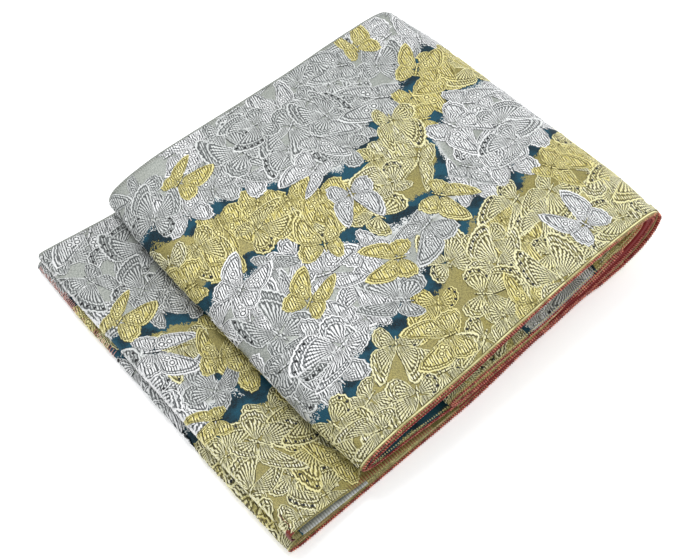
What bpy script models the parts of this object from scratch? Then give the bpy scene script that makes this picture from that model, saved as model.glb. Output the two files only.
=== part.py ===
"""Folded obi sash: a tube-woven (fukuro) obi, 31 cm wide, folded back and forth along its length.

Frame: +X along the obi's length, +Y across its width towards the back selvedge, +Z up.
The sash lies on the plane Z = 0, with the origin under the middle of its bounding box.
"""
import math
from collections import namedtuple

import bpy

MM = 0.001

# Driving dimensions, in millimetres.
WIDTH = 310.0            # selvedge to selvedge
WALL = 2.0               # one thickness of the tube-woven cloth, both faces together
PITCH = 2.4              # from the middle of one layer to the middle of the next
HALF = WIDTH / 2
CENTRE = (-27.1, 0.1)    # middle of the bounding box, before the part is centred on the origin
SEAM = 0.4               # between the two nodes that share the outer path
EDGE_BAND = 60.0         # the layers draw together within this distance of a selvedge
ACROSS = 10              # spans from selvedge to selvedge
EDGE_CLOSENESS = 0.6     # 0 for even spans across the width, 1 for much finer ones at its edges
FINE = 2                 # spans between two rows of a path
ROW_STEP = 0.02          # share of a row, for the direction of a path
HALVINGS = 30            # of the range in which a height is looked up

# A layer's path, seen from the front, as rows of a table. Each row gives the place of the
# layer's middle at the front selvedge and at the back one, how much further along and how
# much higher the layer runs between them than their average, and how far the front
# selvedge stands from the middle.
Row = namedtuple("Row", "station x_front z_front x_back z_back bulge lift front")

OUTER_PATH = (
    Row("return_end", -30.0, 8.8, -30.0, 8.4, 0.0, 0.0, 153.0),
    Row("return_low", -64.0, 10.2, -64.0, 9.4, 0.0, 0.0, 153.0),
    Row("return_rise", -86.0, 13.4, -84.0, 10.8, 0.0, 0.0, 152.5),
    Row("return_bed", -104.0, 16.8, -102.0, 12.0, 0.0, 0.0, 152.5),
    Row("return_out", -124.0, 18.2, -120.0, 12.8, 0.0, 0.0, 152.0),
    Row("tip_under", -143.5, 20.6, -135.0, 15.2, -3.0, 0.0, 151.5),
    Row("tip", -151.5, 26.6, -143.5, 23.0, -4.0, 0.0, 151.5),
    Row("tip_over", -146.0, 32.6, -140.0, 31.2, -3.5, 0.0, 151.5),
    Row("rise", -134.0, 36.4, -129.0, 36.4, -2.0, 0.5, 151.5),
    Row("shoulder", -117.0, 39.6, -114.0, 39.8, 0.0, 0.5, 151.5),
    Row("left_top", -88.0, 41.6, -90.0, 42.8, 0.0, 0.8, 152.0),
    Row("middle_left", -46.0, 44.2, -46.0, 43.6, 0.0, 1.6, 152.0),
    Row("middle", 0.0, 48.4, 0.0, 44.0, 0.0, 1.8, 151.5),
    Row("middle_right", 45.0, 51.6, 45.0, 45.4, 0.0, 1.6, 151.0),
    Row("right_top", 90.0, 52.6, 91.0, 48.6, 0.0, 1.0, 150.5),
    Row("crest", 124.0, 52.2, 128.0, 49.8, 2.0, 0.6, 150.5),
    Row("turn_over", 147.0, 48.4, 152.0, 46.8, 3.5, 0.6, 151.0),
    Row("turn", 156.5, 38.0, 162.5, 37.0, 4.5, 0.0, 152.0),
    Row("turn_under", 153.5, 25.4, 159.5, 24.8, 4.5, 0.0, 152.5),
    Row("turn_low", 142.0, 14.8, 148.0, 14.4, 3.5, 0.0, 152.5),
    Row("turn_foot", 124.0, 8.0, 129.0, 7.8, 2.0, 0.0, 152.0),
    Row("lift", 103.0, 3.6, 106.0, 3.4, 0.0, 0.0, 151.0),
    Row("touch", 80.0, 1.0, 80.0, 1.0, 0.0, 0.0, 149.0),
    Row("bed_right", 30.0, 1.0, 30.0, 1.0, 0.0, 0.0, 150.5),
    Row("bed_middle", -60.0, 1.0, -60.0, 1.0, 0.0, 0.0, 155.0),
    Row("bed_left", -150.0, 1.0, -150.0, 1.0, 0.0, 0.0, 155.0),
    Row("fold_foot", -202.0, 1.0, -202.0, 1.0, 0.0, 0.0, 155.0),
    Row("fold_under", -213.0, 2.2, -210.0, 1.8, -1.0, 0.0, 155.0),
    Row("fold_out", -219.0, 5.8, -215.0, 4.4, -1.5, 0.0, 155.0),
    Row("fold_over", -213.0, 9.4, -210.0, 7.0, -1.0, 0.0, 155.0),
    Row("fold_back", -200.0, 10.2, -198.0, 7.4, 0.0, 0.0, 155.0),
    Row("fold_end", -176.0, 8.2, -176.0, 6.2, 0.0, 0.0, 155.0),
)

LOWER_PATH = (
    Row("under_end", -150.0, 9.4, -150.0, 6.2, 0.0, 0.0, 154.5),
    Row("under", -180.0, 11.5, -178.0, 9.0, 0.0, 0.0, 154.5),
    Row("fold_under", -204.0, 13.2, -202.0, 10.0, 0.0, 0.0, 154.5),
    Row("fold_out", -214.6, 16.4, -211.5, 12.2, -1.0, 0.0, 153.5),
    Row("crease", -213.2, 20.8, -210.4, 14.9, -1.0, 0.0, 152.5),
    Row("strip_left", -200.0, 20.4, -198.0, 14.6, 0.0, 0.0, 152.0),
    Row("strip", -178.0, 16.6, -175.0, 12.0, 0.0, 0.4, 152.0),
    Row("strip_right", -152.0, 12.8, -148.0, 9.2, 0.0, 0.4, 153.0),
    Row("tucked", -126.0, 10.8, -124.0, 8.6, 0.0, 0.0, 153.5),
    Row("end", -88.0, 8.6, -88.0, 7.4, 0.0, 0.0, 154.0),
)

TUCKED_PATH = (
    Row("under_end", 34.0, 14.2, 34.0, 14.2, 0.0, 0.0, 153.0),
    Row("under", -18.0, 13.8, -18.0, 13.6, 0.0, 0.0, 153.5),
    Row("under_left", -50.0, 14.8, -48.0, 14.2, 0.0, 0.0, 154.0),
    Row("left_under", -66.0, 16.6, -62.0, 16.4, 0.0, 0.0, 154.0),
    Row("left_tip", -71.0, 20.8, -67.0, 21.6, 0.0, 1.0, 154.0),
    Row("left_over", -65.0, 24.2, -62.0, 25.0, 0.0, 5.0, 154.0),
    Row("left_top", -44.0, 25.0, -43.0, 26.2, 0.0, 10.5, 154.0),
    Row("middle", -6.0, 24.0, -6.0, 26.0, 0.0, 15.0, 153.5),
    Row("middle_right", 36.0, 25.6, 36.0, 28.4, 0.0, 15.5, 153.0),
    Row("right_top", 76.0, 31.8, 76.0, 33.4, 0.0, 11.4, 152.5),
    Row("right_over", 104.0, 37.4, 104.0, 38.0, 0.0, 6.4, 152.0),
    Row("right_tip", 112.0, 34.4, 112.0, 35.6, 0.0, 6.0, 152.0),
    Row("right_under", 105.0, 30.8, 105.0, 32.2, 0.0, 5.0, 152.0),
    Row("right_back", 84.0, 26.8, 84.0, 28.8, 0.0, 5.0, 152.5),
    Row("right_end", 62.0, 22.6, 62.0, 25.0, 0.0, 5.0, 152.5),
)

# Front selvedge of the inner layer, which stands further out than the outer one on the left:
# x, and the selvedge's distance from the middle.
INNER_EDGE = ((-160.0, 154.5), (-60.0, 155.0), (0.0, 153.0), (60.0, 150.5), (160.0, 150.5))

# Inside of the bundle of layers that turns round in the right fold: the outer layer's
# station, x and z.
RIGHT_BUNDLE = (
    ("crest", 122.5, 46.4),
    ("turn_over", 139.0, 40.5),
    ("turn", 138.0, 34.5),
    ("turn_under", 131.5, 30.5),
    ("turn_low", 125.0, 27.5),
    ("turn_foot", 115.0, 24.5),
    ("lift", 99.5, 20.0),
    ("touch", 79.0, 15.6),
    ("bed_right", 30.0, 12.4),
)
BUNDLE_END = (-16.0, 11.8)      # x and z of its last inside point, on the lowest layers
BUNDLE_TILT = 0.4               # fall of its inside from the front selvedge to the back one
BUNDLE_REACH = (149.5, 153.5)   # front and back selvedges of its outermost layer
BUNDLE_STAGGER = 2.5            # the innermost layer stands back by this much
BUNDLE_LAYERS = 6

# Top of the layers packed in the lower bundle: x, and the height at the front and the back.
LOWER_TOP = (
    (-206.0, 8.2, 5.4),
    (-178.0, 6.6, 4.6),
    (-166.0, 7.0, 4.7),
    (-148.0, 7.6, 4.7),
    (-138.0, 8.8, 6.0),
    (-126.0, 8.9, 6.7),
    (-92.0, 7.0, 5.8),
)

# Layers packed flat between two stretches: where they start and end, how many sections they
# have, the air to the walls around them, how far they reach to the front and the back, and
# how many of them show at the selvedges.
Packed = namedtuple("Packed", "first last sections air front back layers")
TUCKED_PACK = Packed(-56.0, 98.0, 14, 1.2, 151.5, 153.0, 3)
LEFT_PACK = Packed(-128.0, -76.0, 8, 0.8, 122.0, 124.0, 3)
LOWER_PACK = Packed(-206.0, -92.0, 12, 0.4, 152.5, 153.5, 2)
END_ROUND = 8.0              # their ends round off over this length
END_SQUEEZE = 0.32           # share of the height that each face loses at an end

GAP = 0.4                    # air between the right fold and the layers inside it
GROOVE = 1.3                 # depth of the grooves between packed layers at the selvedges

MATERIALS = {
    "brocade_mixed": ((0.58, 0.56, 0.36, 1.0), 0.42, 0.55),
    "brocade_gold": ((0.66, 0.58, 0.25, 1.0), 0.40, 0.60),
    "brocade_silver": ((0.62, 0.64, 0.66, 1.0), 0.38, 0.60),
    "brocade_inner": ((0.34, 0.32, 0.20, 1.0), 0.60, 0.30),
}


def clear_scene():
    for item in list(bpy.data.objects):
        bpy.data.objects.remove(item, do_unlink=True)


def make_material(name):
    colour, roughness, metallic = MATERIALS[name]
    material = bpy.data.materials.new(name)
    material.use_nodes = True
    shader = material.node_tree.nodes["Principled BSDF"]
    shader.inputs["Base Color"].default_value = colour
    shader.inputs["Roughness"].default_value = roughness
    shader.inputs["Metallic"].default_value = metallic
    return material


def smooth(t):
    """Ease from 0 to 1 as t goes from 0 to 1."""
    t = min(1.0, max(0.0, t))
    return t * t * (3.0 - 2.0 * t)


def table_value(table, x):
    """Read the second column of a table at x, straight between its rows."""
    if x <= table[0][0]:
        return table[0][1]
    for (x0, v0), (x1, v1) in zip(table, table[1:]):
        if x <= x1:
            return v0 + (v1 - v0) * (x - x0) / (x1 - x0)
    return table[-1][1]


def row_index(path, station):
    return [row.station for row in path].index(station)


def path_row(row, across):
    """Place of one row at a share of the width, from -1 at the front to 1 at the back."""
    share = (across + 1.0) / 2.0
    x = row.x_front + (row.x_back - row.x_front) * share
    z = row.z_front + (row.z_back - row.z_front) * share
    inland = smooth((1.0 - abs(across)) * HALF / EDGE_BAND)
    return x + row.bulge * inland, z + row.lift * inland


def curve_point(path, at, across):
    """Point at a row number with a fraction, on a smooth curve through the rows."""
    last = len(path) - 1
    i = min(int(at), last - 1)
    p1 = path_row(path[i], across)
    p2 = path_row(path[i + 1], across)
    p0 = path_row(path[i - 1], across) if i > 0 else mirror(p1, p2)
    p3 = path_row(path[i + 2], across) if i + 2 <= last else mirror(p2, p1)
    k0 = 0.0
    k1 = k0 + math.sqrt(math.dist(p0, p1))
    k2 = k1 + math.sqrt(math.dist(p1, p2))
    k3 = k2 + math.sqrt(math.dist(p2, p3))
    k = k1 + (k2 - k1) * (at - i)
    a1 = between(p0, p1, (k - k0) / (k1 - k0))
    a2 = between(p1, p2, (k - k1) / (k2 - k1))
    a3 = between(p2, p3, (k - k2) / (k3 - k2))
    b1 = between(a1, a2, (k - k0) / (k2 - k0))
    b2 = between(a2, a3, (k - k1) / (k3 - k1))
    x, z = between(b1, b2, (k - k1) / (k2 - k1))
    return x, max(z, WALL / 2)


def between(p, q, t):
    return p[0] + (q[0] - p[0]) * t, p[1] + (q[1] - p[1]) * t


def mirror(p, q):
    """The point as far before p as q is after it."""
    return 2.0 * p[0] - q[0], 2.0 * p[1] - q[1]


def curve_normal(path, at, across):
    """Unit normal of the path, pointing to the right of the way it runs."""
    last = len(path) - 1
    x0, z0 = curve_point(path, max(at - ROW_STEP, 0.0), across)
    x1, z1 = curve_point(path, min(at + ROW_STEP, float(last)), across)
    length = math.hypot(x1 - x0, z1 - z0)
    return (z1 - z0) / length, -(x1 - x0) / length


def stations(first, last):
    count = max(2, round((last - first) * FINE))
    return [first + (last - first) * i / count for i in range(count + 1)]


def across_values():
    """Shares of the width, closer together near the selvedges."""
    values = []
    for i in range(ACROSS + 1):
        t = -1.0 + 2.0 * i / ACROSS
        values.append(math.sin(t * math.pi / 2) * EDGE_CLOSENESS + t * (1.0 - EDGE_CLOSENESS))
    return values


def front_edge(path, at):
    """Distance of the front selvedge from the middle of the width, at a row number."""
    i = min(int(at), len(path) - 2)
    t = smooth(at - i)
    return path[i].front * (1.0 - t) + path[i + 1].front * t


def width_point(across, front):
    """Y at a share of the width, with the front selvedge this far from the middle."""
    if across < 0.0:
        return across * front
    return across * HALF


def add_object(name, vertices, faces, material, collection):
    centred = [((x - CENTRE[0]) * MM, (y - CENTRE[1]) * MM, z * MM) for x, y, z in vertices]
    mesh = bpy.data.meshes.new(name)
    mesh.from_pydata(centred, [], faces)
    mesh.validate()
    item = bpy.data.objects.new(name, mesh)
    item.data.materials.append(material)
    collection.objects.link(item)
    return item


def grid_faces(rows, columns):
    faces = []
    for r in range(rows - 1):
        for c in range(columns - 1):
            a = r * columns + c
            faces.append((a, a + 1, a + columns + 1, a + columns))
    return faces


def layer(name, path, first, last, material, collection, offset=0.0, edge=None):
    """One stretch of cloth: an open sheet along a path, given its thickness."""
    steps = stations(first, last)
    shares = across_values()
    vertices = []
    for at in steps:
        for across in shares:
            x, z = curve_point(path, at, across)
            nx, nz = curve_normal(path, at, across)
            x += nx * offset
            z += nz * offset
            front = table_value(edge, x) if edge else front_edge(path, at)
            vertices.append((x, width_point(across, front), z))
    item = add_object(name, vertices, grid_faces(len(steps), len(shares)), material, collection)
    wall = item.modifiers.new("wall", "SOLIDIFY")
    wall.thickness = WALL * MM
    wall.offset = 0.0
    wall.use_even_offset = False
    item.data.shade_smooth()
    return item


def ring_solid(name, rings, material, collection):
    """Closed solid through equal rings, with flat caps on its ends."""
    count = len(rings[0])
    vertices = [point for ring in rings for point in ring]
    faces = []
    for r in range(len(rings) - 1):
        for c in range(count):
            a = r * count + c
            b = r * count + (c + 1) % count
            faces.append((a, b, b + count, a + count))
    faces.append(tuple(reversed(range(count))))
    faces.append(tuple(range((len(rings) - 1) * count, len(rings) * count)))
    item = add_object(name, vertices, faces, material, collection)
    return item


def layered_ring(low, high, reach, stagger, layers):
    """Ring of a packed bundle. low and high give (x, z) at a share of the width."""
    shares = across_values()
    grooves = [(k / (2.0 * layers), GROOVE if k % 2 == 0 else 0.0) for k in range(1, 2 * layers)]

    def place(part, across, inset):
        x0, z0 = low(across)
        x1, z1 = high(across)
        side = reach[0] if across < 0.0 else reach[1]
        y = across * (side - inset - stagger * part)
        return x0 + (x1 - x0) * part, y, z0 + (z1 - z0) * part

    ring = [place(0.0, across, 0.0) for across in shares]
    ring += [place(part, 1.0, inset) for part, inset in grooves]
    ring += [place(1.0, across, 0.0) for across in reversed(shares)]
    ring += [place(part, -1.0, inset) for part, inset in reversed(grooves)]
    return ring


def right_bundle(material, collection):
    """Layers that turn round inside the right fold, seen as nested selvedges."""
    reach = PITCH + WALL / 2 + GAP
    rows = [(row_index(OUTER_PATH, name), x, z) for name, x, z in RIGHT_BUNDLE]
    last_at = row_index(OUTER_PATH, "bed_right")
    span = OUTER_PATH[last_at].x_front - OUTER_PATH[last_at + 1].x_front
    end_at = last_at + (OUTER_PATH[last_at].x_front - BUNDLE_END[0]) / span
    rows.append((end_at, BUNDLE_END[0], BUNDLE_END[1]))
    rings = []
    for (at0, x0, z0), (at1, x1, z1) in zip(rows, rows[1:]):
        for k in range(FINE):
            t = k / FINE
            rings.append(bundle_ring(at0 + (at1 - at0) * t, x0 + (x1 - x0) * t,
                                     z0 + (z1 - z0) * t, reach))
    rings.append(bundle_ring(rows[-1][0], rows[-1][1], rows[-1][2], reach))
    rings.reverse()
    return ring_solid("right_layers", rings, material, collection)


def bundle_ring(at, x_inside, z_inside, reach):
    def outside(across):
        x, z = curve_point(OUTER_PATH, at, across)
        nx, nz = curve_normal(OUTER_PATH, at, across)
        return x + nx * reach, z + nz * reach

    def inside(across):
        return x_inside, z_inside - (across + 1.0) / 2.0 * BUNDLE_TILT

    return layered_ring(outside, inside, BUNDLE_REACH, BUNDLE_STAGGER, BUNDLE_LAYERS)


def height_at(path, first, last, x, across):
    """Height of a stretch of path at x, where x runs one way from first to last."""
    low, high = float(first), float(last)
    rising = curve_point(path, high, across)[0] > curve_point(path, low, across)[0]
    for _ in range(HALVINGS):
        middle = (low + high) / 2.0
        if (curve_point(path, middle, across)[0] < x) == rising:
            low = middle
        else:
            high = middle
    return curve_point(path, low, across)[1]


def packed_layers(name, pack, floor, ceiling, material, collection):
    """Rounded solid between two layers, grooved along its selvedges."""
    reach = (pack.front, pack.back)
    rings = []
    for x in end_spaced(pack.first, pack.last, pack.sections):
        near = min(x - pack.first, pack.last - x)
        squeeze = END_SQUEEZE * (1.0 - smooth(near / END_ROUND))

        def low(across, x=x, squeeze=squeeze):
            bottom, top = floor(x, across), ceiling(x, across)
            return x, bottom + (top - bottom) * squeeze

        def high(across, x=x, squeeze=squeeze):
            bottom, top = floor(x, across), ceiling(x, across)
            return x, top - (top - bottom) * squeeze

        rings.append(layered_ring(low, high, reach, 0.0, pack.layers))
    return ring_solid(name, rings, material, collection)


def end_spaced(first, last, count):
    """Values from first to last, closer together at both ends."""
    return [first + (last - first) * (1.0 - math.cos(math.pi * i / count)) / 2.0
            for i in range(count + 1)]


def tucked_layers(material, collection):
    """Layers inside the tucked stretch."""
    air = WALL / 2 + TUCKED_PACK.air
    end = len(TUCKED_PATH) - 1
    under = row_index(TUCKED_PATH, "left_under")
    over = row_index(TUCKED_PATH, "left_over")
    turn = row_index(TUCKED_PATH, "right_over")
    back = row_index(TUCKED_PATH, "right_under")
    open_left = TUCKED_PATH[0].x_front
    open_right = TUCKED_PATH[end].x_front

    def floor(x, across):
        left = height_at(TUCKED_PATH, under, 0, min(x, open_left), across)
        right = height_at(TUCKED_PATH, back, end, max(x, open_right), across)
        return left + (right - left) * smooth((x - open_left) / (open_right - open_left)) + air

    def ceiling(x, across):
        return height_at(TUCKED_PATH, over, turn, x, across) - air

    return packed_layers("tucked_layers", TUCKED_PACK, floor, ceiling, material, collection)


def left_layers(material, collection):
    """Layers inside the left fold of the upper bundle, short of its selvedges."""
    air = PITCH + WALL / 2 + LEFT_PACK.air
    under = row_index(OUTER_PATH, "tip_under")
    over = row_index(OUTER_PATH, "rise")
    crown = row_index(OUTER_PATH, "middle")

    def floor(x, across):
        return height_at(OUTER_PATH, under, 0, x, across) + air

    def ceiling(x, across):
        return height_at(OUTER_PATH, over, crown, x, across) - air

    return packed_layers("left_layers", LEFT_PACK, floor, ceiling, material, collection)


def lower_layers(material, collection):
    """Layers between the lowest stretch and what lies on it."""
    front = [(x, top) for x, top, _ in LOWER_TOP]
    back = [(x, top) for x, _, top in LOWER_TOP]

    def floor(x, across):
        return WALL + LOWER_PACK.air

    def ceiling(x, across):
        share = (across + 1.0) / 2.0
        return table_value(front, x) * (1.0 - share) + table_value(back, x) * share

    return packed_layers("lower_layers", LOWER_PACK, floor, ceiling, material, collection)


def seam_rows(path, at):
    """Half of the seam's width, as a share of a row."""
    before = curve_point(path, at - ROW_STEP, 0.0)
    after = curve_point(path, at + ROW_STEP, 0.0)
    return SEAM / 2.0 * 2.0 * ROW_STEP / math.dist(before, after)


def main():
    clear_scene()
    collection = bpy.data.collections.new("folded_obi")
    bpy.context.scene.collection.children.link(collection)
    materials = {name: make_material(name) for name in MATERIALS}
    split = row_index(OUTER_PATH, "turn_foot")
    seam = seam_rows(OUTER_PATH, split)
    last = len(OUTER_PATH) - 1
    layer("top_stretch", OUTER_PATH, 0, split - seam, materials["brocade_mixed"], collection)
    layer("lowest_stretch", OUTER_PATH, split + seam, last, materials["brocade_gold"], collection)
    layer("inner_stretch", OUTER_PATH, 0, row_index(OUTER_PATH, "bed_middle"),
          materials["brocade_silver"], collection, offset=PITCH, edge=INNER_EDGE)
    layer("lower_stretch", LOWER_PATH, 0, len(LOWER_PATH) - 1, materials["brocade_silver"],
          collection)
    layer("tucked_stretch", TUCKED_PATH, 0, len(TUCKED_PATH) - 1, materials["brocade_gold"],
          collection)
    right_bundle(materials["brocade_inner"], collection)
    tucked_layers(materials["brocade_inner"], collection)
    left_layers(materials["brocade_inner"], collection)
    lower_layers(materials["brocade_inner"], collection)


main()
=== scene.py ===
"""Looks of the folded obi sash: brocade shells on the frame's stretches, butterflies raised in metallic
thread on them, and the red overcasting of the front selvedge.

Lengths are in millimetres, in the part's own frame, until a mesh is made. A place on a stretch of flat
cloth is (u, v): u runs along the sash and v across it, from -155 at the front selvedge to 155 at the back.
"""
import math
from collections import namedtuple

import bpy
import numpy as np
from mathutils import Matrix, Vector

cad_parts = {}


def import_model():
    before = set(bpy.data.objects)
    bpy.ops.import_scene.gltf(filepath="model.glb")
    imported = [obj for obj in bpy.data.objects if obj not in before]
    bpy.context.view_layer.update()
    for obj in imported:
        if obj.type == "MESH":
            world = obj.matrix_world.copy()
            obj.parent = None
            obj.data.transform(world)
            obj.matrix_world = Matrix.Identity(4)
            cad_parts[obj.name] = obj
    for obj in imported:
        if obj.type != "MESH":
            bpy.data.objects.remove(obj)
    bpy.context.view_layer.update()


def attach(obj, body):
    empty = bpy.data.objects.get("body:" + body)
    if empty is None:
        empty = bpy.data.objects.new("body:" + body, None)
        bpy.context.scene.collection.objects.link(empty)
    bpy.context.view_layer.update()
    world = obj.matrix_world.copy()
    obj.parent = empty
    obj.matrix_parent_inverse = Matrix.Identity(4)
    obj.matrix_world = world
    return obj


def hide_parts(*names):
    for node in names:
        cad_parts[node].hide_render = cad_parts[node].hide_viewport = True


MM = 0.001
TURN = 2.0 * math.pi
WIDTH = 310.0            # selvedge to selvedge
HALF = WIDTH / 2
WALL = 2.0               # one thickness of the tube-woven cloth, both faces together
PITCH = 2.4              # from the middle of one layer to the middle of the next
CENTRE = (-27.1, 0.1)    # middle of the bounding box, before the part is centred on the origin
EDGE_BAND = 60.0         # the layers draw together within this distance of a selvedge
GAP = 0.4                # air between the right fold and the layers inside it

# The same paths as in the part's source: the middle of each stretch at both selvedges.
Row = namedtuple("Row", "station x_front z_front x_back z_back bulge lift front")
OUTER_PATH = [Row(*row) for row in (
    ("return_end", -30, 8.8, -30, 8.4, 0, 0, 153),
    ("return_low", -64, 10.2, -64, 9.4, 0, 0, 153),
    ("return_rise", -86, 13.4, -84, 10.8, 0, 0, 152.5),
    ("return_bed", -104, 16.8, -102, 12, 0, 0, 152.5),
    ("return_out", -124, 18.2, -120, 12.8, 0, 0, 152),
    ("tip_under", -143.5, 20.6, -135, 15.2, -3, 0, 151.5),
    ("tip", -151.5, 26.6, -143.5, 23, -4, 0, 151.5),
    ("tip_over", -146, 32.6, -140, 31.2, -3.5, 0, 151.5),
    ("rise", -134, 36.4, -129, 36.4, -2, 0.5, 151.5),
    ("shoulder", -117, 39.6, -114, 39.8, 0, 0.5, 151.5),
    ("left_top", -88, 41.6, -90, 42.8, 0, 0.8, 152),
    ("middle_left", -46, 44.2, -46, 43.6, 0, 1.6, 152),
    ("middle", 0, 48.4, 0, 44, 0, 1.8, 151.5),
    ("middle_right", 45, 51.6, 45, 45.4, 0, 1.6, 151),
    ("right_top", 90, 52.6, 91, 48.6, 0, 1, 150.5),
    ("crest", 124, 52.2, 128, 49.8, 2, 0.6, 150.5),
    ("turn_over", 147, 48.4, 152, 46.8, 3.5, 0.6, 151),
    ("turn", 156.5, 38, 162.5, 37, 4.5, 0, 152),
    ("turn_under", 153.5, 25.4, 159.5, 24.8, 4.5, 0, 152.5),
    ("turn_low", 142, 14.8, 148, 14.4, 3.5, 0, 152.5),
    ("turn_foot", 124, 8, 129, 7.8, 2, 0, 152),
    ("lift", 103, 3.6, 106, 3.4, 0, 0, 151),
    ("touch", 80, 1, 80, 1, 0, 0, 149),
    ("bed_right", 30, 1, 30, 1, 0, 0, 150.5),
    ("bed_middle", -60, 1, -60, 1, 0, 0, 155),
    ("bed_left", -150, 1, -150, 1, 0, 0, 155),
    ("fold_foot", -202, 1, -202, 1, 0, 0, 155),
    ("fold_under", -213, 2.2, -210, 1.8, -1, 0, 155),
    ("fold_out", -219, 5.8, -215, 4.4, -1.5, 0, 155),
    ("fold_over", -213, 9.4, -210, 7, -1, 0, 155),
    ("fold_back", -200, 10.2, -198, 7.4, 0, 0, 155),
    ("fold_end", -176, 8.2, -176, 6.2, 0, 0, 155),
)]
LOWER_PATH = [Row(*row) for row in (
    ("under_end", -150, 9.4, -150, 6.2, 0, 0, 154.5),
    ("under", -180, 11.5, -178, 9, 0, 0, 154.5),
    ("fold_under", -204, 13.2, -202, 10, 0, 0, 154.5),
    ("fold_out", -214.6, 16.4, -211.5, 12.2, -1, 0, 153.5),
    ("crease", -213.2, 20.8, -210.4, 14.9, -1, 0, 152.5),
    ("strip_left", -200, 20.4, -198, 14.6, 0, 0, 152),
    ("strip", -178, 16.6, -175, 12, 0, 0.4, 152),
    ("strip_right", -152, 12.8, -148, 9.2, 0, 0.4, 153),
    ("tucked", -126, 10.8, -124, 8.6, 0, 0, 153.5),
    ("end", -88, 8.6, -88, 7.4, 0, 0, 154),
)]
TUCKED_PATH = [Row(*row) for row in (
    ("under_end", 34, 14.2, 34, 14.2, 0, 0, 153),
    ("under", -18, 13.8, -18, 13.6, 0, 0, 153.5),
    ("under_left", -50, 14.8, -48, 14.2, 0, 0, 154),
    ("left_under", -66, 16.6, -62, 16.4, 0, 0, 154),
    ("left_tip", -71, 20.8, -67, 21.6, 0, 1, 154),
    ("left_over", -65, 24.2, -62, 25, 0, 5, 154),
    ("left_top", -44, 25, -43, 26.2, 0, 10.5, 154),
    ("middle", -6, 24, -6, 26, 0, 15, 153.5),
    ("middle_right", 36, 25.6, 36, 28.4, 0, 15.5, 153),
    ("right_top", 76, 31.8, 76, 33.4, 0, 11.4, 152.5),
    ("right_over", 104, 37.4, 104, 38, 0, 6.4, 152),
    ("right_tip", 112, 34.4, 112, 35.6, 0, 6, 152),
    ("right_under", 105, 30.8, 105, 32.2, 0, 5, 152),
    ("right_back", 84, 26.8, 84, 28.8, 0, 5, 152.5),
    ("right_end", 62, 22.6, 62, 25, 0, 5, 152.5),
)]

INNER_BACK = 1.6         # the inner ply's stitching stands back by this much more
INNER_EDGE = ((-160, 154.5), (-60, 155), (0, 153), (60, 150.5), (160, 150.5))   # x, front edge

RIGHT_BUNDLE = (
    # row of the outer path, and x and z of the innermost layer there
    ("crest", 122.5, 46.4),
    ("turn_over", 139, 40.5),
    ("turn", 138, 34.5),
    ("turn_under", 131.5, 30.5),
    ("turn_low", 125, 27.5),
    ("turn_foot", 115, 24.5),
    ("lift", 99.5, 20),
    ("touch", 79, 15.6),
    ("bed_right", 30, 12.4),
)
BUNDLE_END = (-16.0, 11.8)
BUNDLE_TILT = 0.4        # how much lower the innermost layer lies at the back
BUNDLE_REACH = (149.5, 153.5)
BUNDLE_STAGGER = 2.5     # from the outermost layer to the innermost, each is narrower
BUNDLE = (
    # how far each layer stands back at the front, u at its start; red edges lie below u -240
    (0.0, -560.0), (0.8, -545.0), (0.5, -530.0), (3.6, 30.0), (0.9, 70.0), (0.0, 110.0),
)

LOWER_TOP = (
    # x, height of the space's ceiling at the front and at the back
    (-206, 8.2, 5.4),
    (-178, 6.6, 4.6),
    (-166, 7.0, 4.7),
    (-148, 7.6, 4.7),
    (-138, 8.8, 6.0),
    (-126, 8.9, 6.7),
    (-92, 7.0, 5.8),
)

Packed = namedtuple("Packed", "first last air front back layers")
TUCKED_PACK = Packed(-56.0, 98.0, 1.2, 151.5, 153.0, 3)
LEFT_PACK = Packed(-128.0, -76.0, 0.8, 122.0, 124.0, 3)
LOWER_PACK = Packed(-206.0, -92.0, 0.4, 152.5, 153.5, 2)
PACK_ZERO = 90.0         # u at the start of each layer is this much more than at the one below
END_ROUND = 8.0          # a pack closes over this distance at both ends
END_SQUEEZE = 0.32       # by this share of its height from each side
LAYER_SHARE = 0.8        # of its pitch in the pack, the thickness of one hidden layer

# The cloth map: samples along a path for each of its rows and along a pack, places across the width from
# -1 to 1 and from 0 to 1, and its step.
SAMPLES = 24
PACK_SAMPLES, LEVEL_SAMPLES = 80, 240
SHARES = 63
ACROSS = np.linspace(-1.0, 1.0, SHARES)
PART = (ACROSS + 1.0) / 2.0
MAP_STEP = 1.0

# Soft troughs and ridges of each stretch: u, v, angle from u in degrees, length, width and height.
TOP_CREASES = (
    (-60, 60, 84, 120, 16, -0.35),
    (-10, -70, 97, 90, 22, 0.45),
    (40, 90, 70, 80, 14, -0.30),
    (70, -20, 100, 150, 26, 0.50),
    (105, 40, 62, 90, 10, -0.35),
    (120, -90, 118, 70, 12, -0.40),
    (-95, -60, 80, 110, 12, 0.35),
    (15, 10, 20, 110, 18, 0.30),
    (150, 60, 95, 130, 9, -0.40),
    (-30, 120, 8, 80, 12, -0.25),
    (60, -130, 4, 120, 14, 0.30),
)
LOWER_CREASES = (
    (-187, 0, 90, 400, 1.6, 0.45),
    (-190.8, 0, 90, 400, 1.5, -0.45),
    (-160, -40, 88, 120, 10, -0.4),
    (-150, 90, 80, 60, 8, 0.3),
    (-172, -110, 95, 60, 7, 0.3),
)
TUCKED_CREASES = (
    (0, -130, 80, 60, 12, 0.5),
    (50, -120, 100, 60, 10, -0.5),
    (-40, -120, 95, 50, 10, -0.4),
)


# The cloth as a map from flat places to space

def smooth(t):
    t = np.clip(t, 0.0, 1.0)
    return t * t * (3.0 - 2.0 * t)


def between(p, q, t):
    return p + (q - p) * t


def read_table(table, at):
    """The second column of a table, where its first is at."""
    return np.interp(at, *np.array(table, float).T)


def row_number(path, station):
    return [row.station for row in path].index(station)


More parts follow.
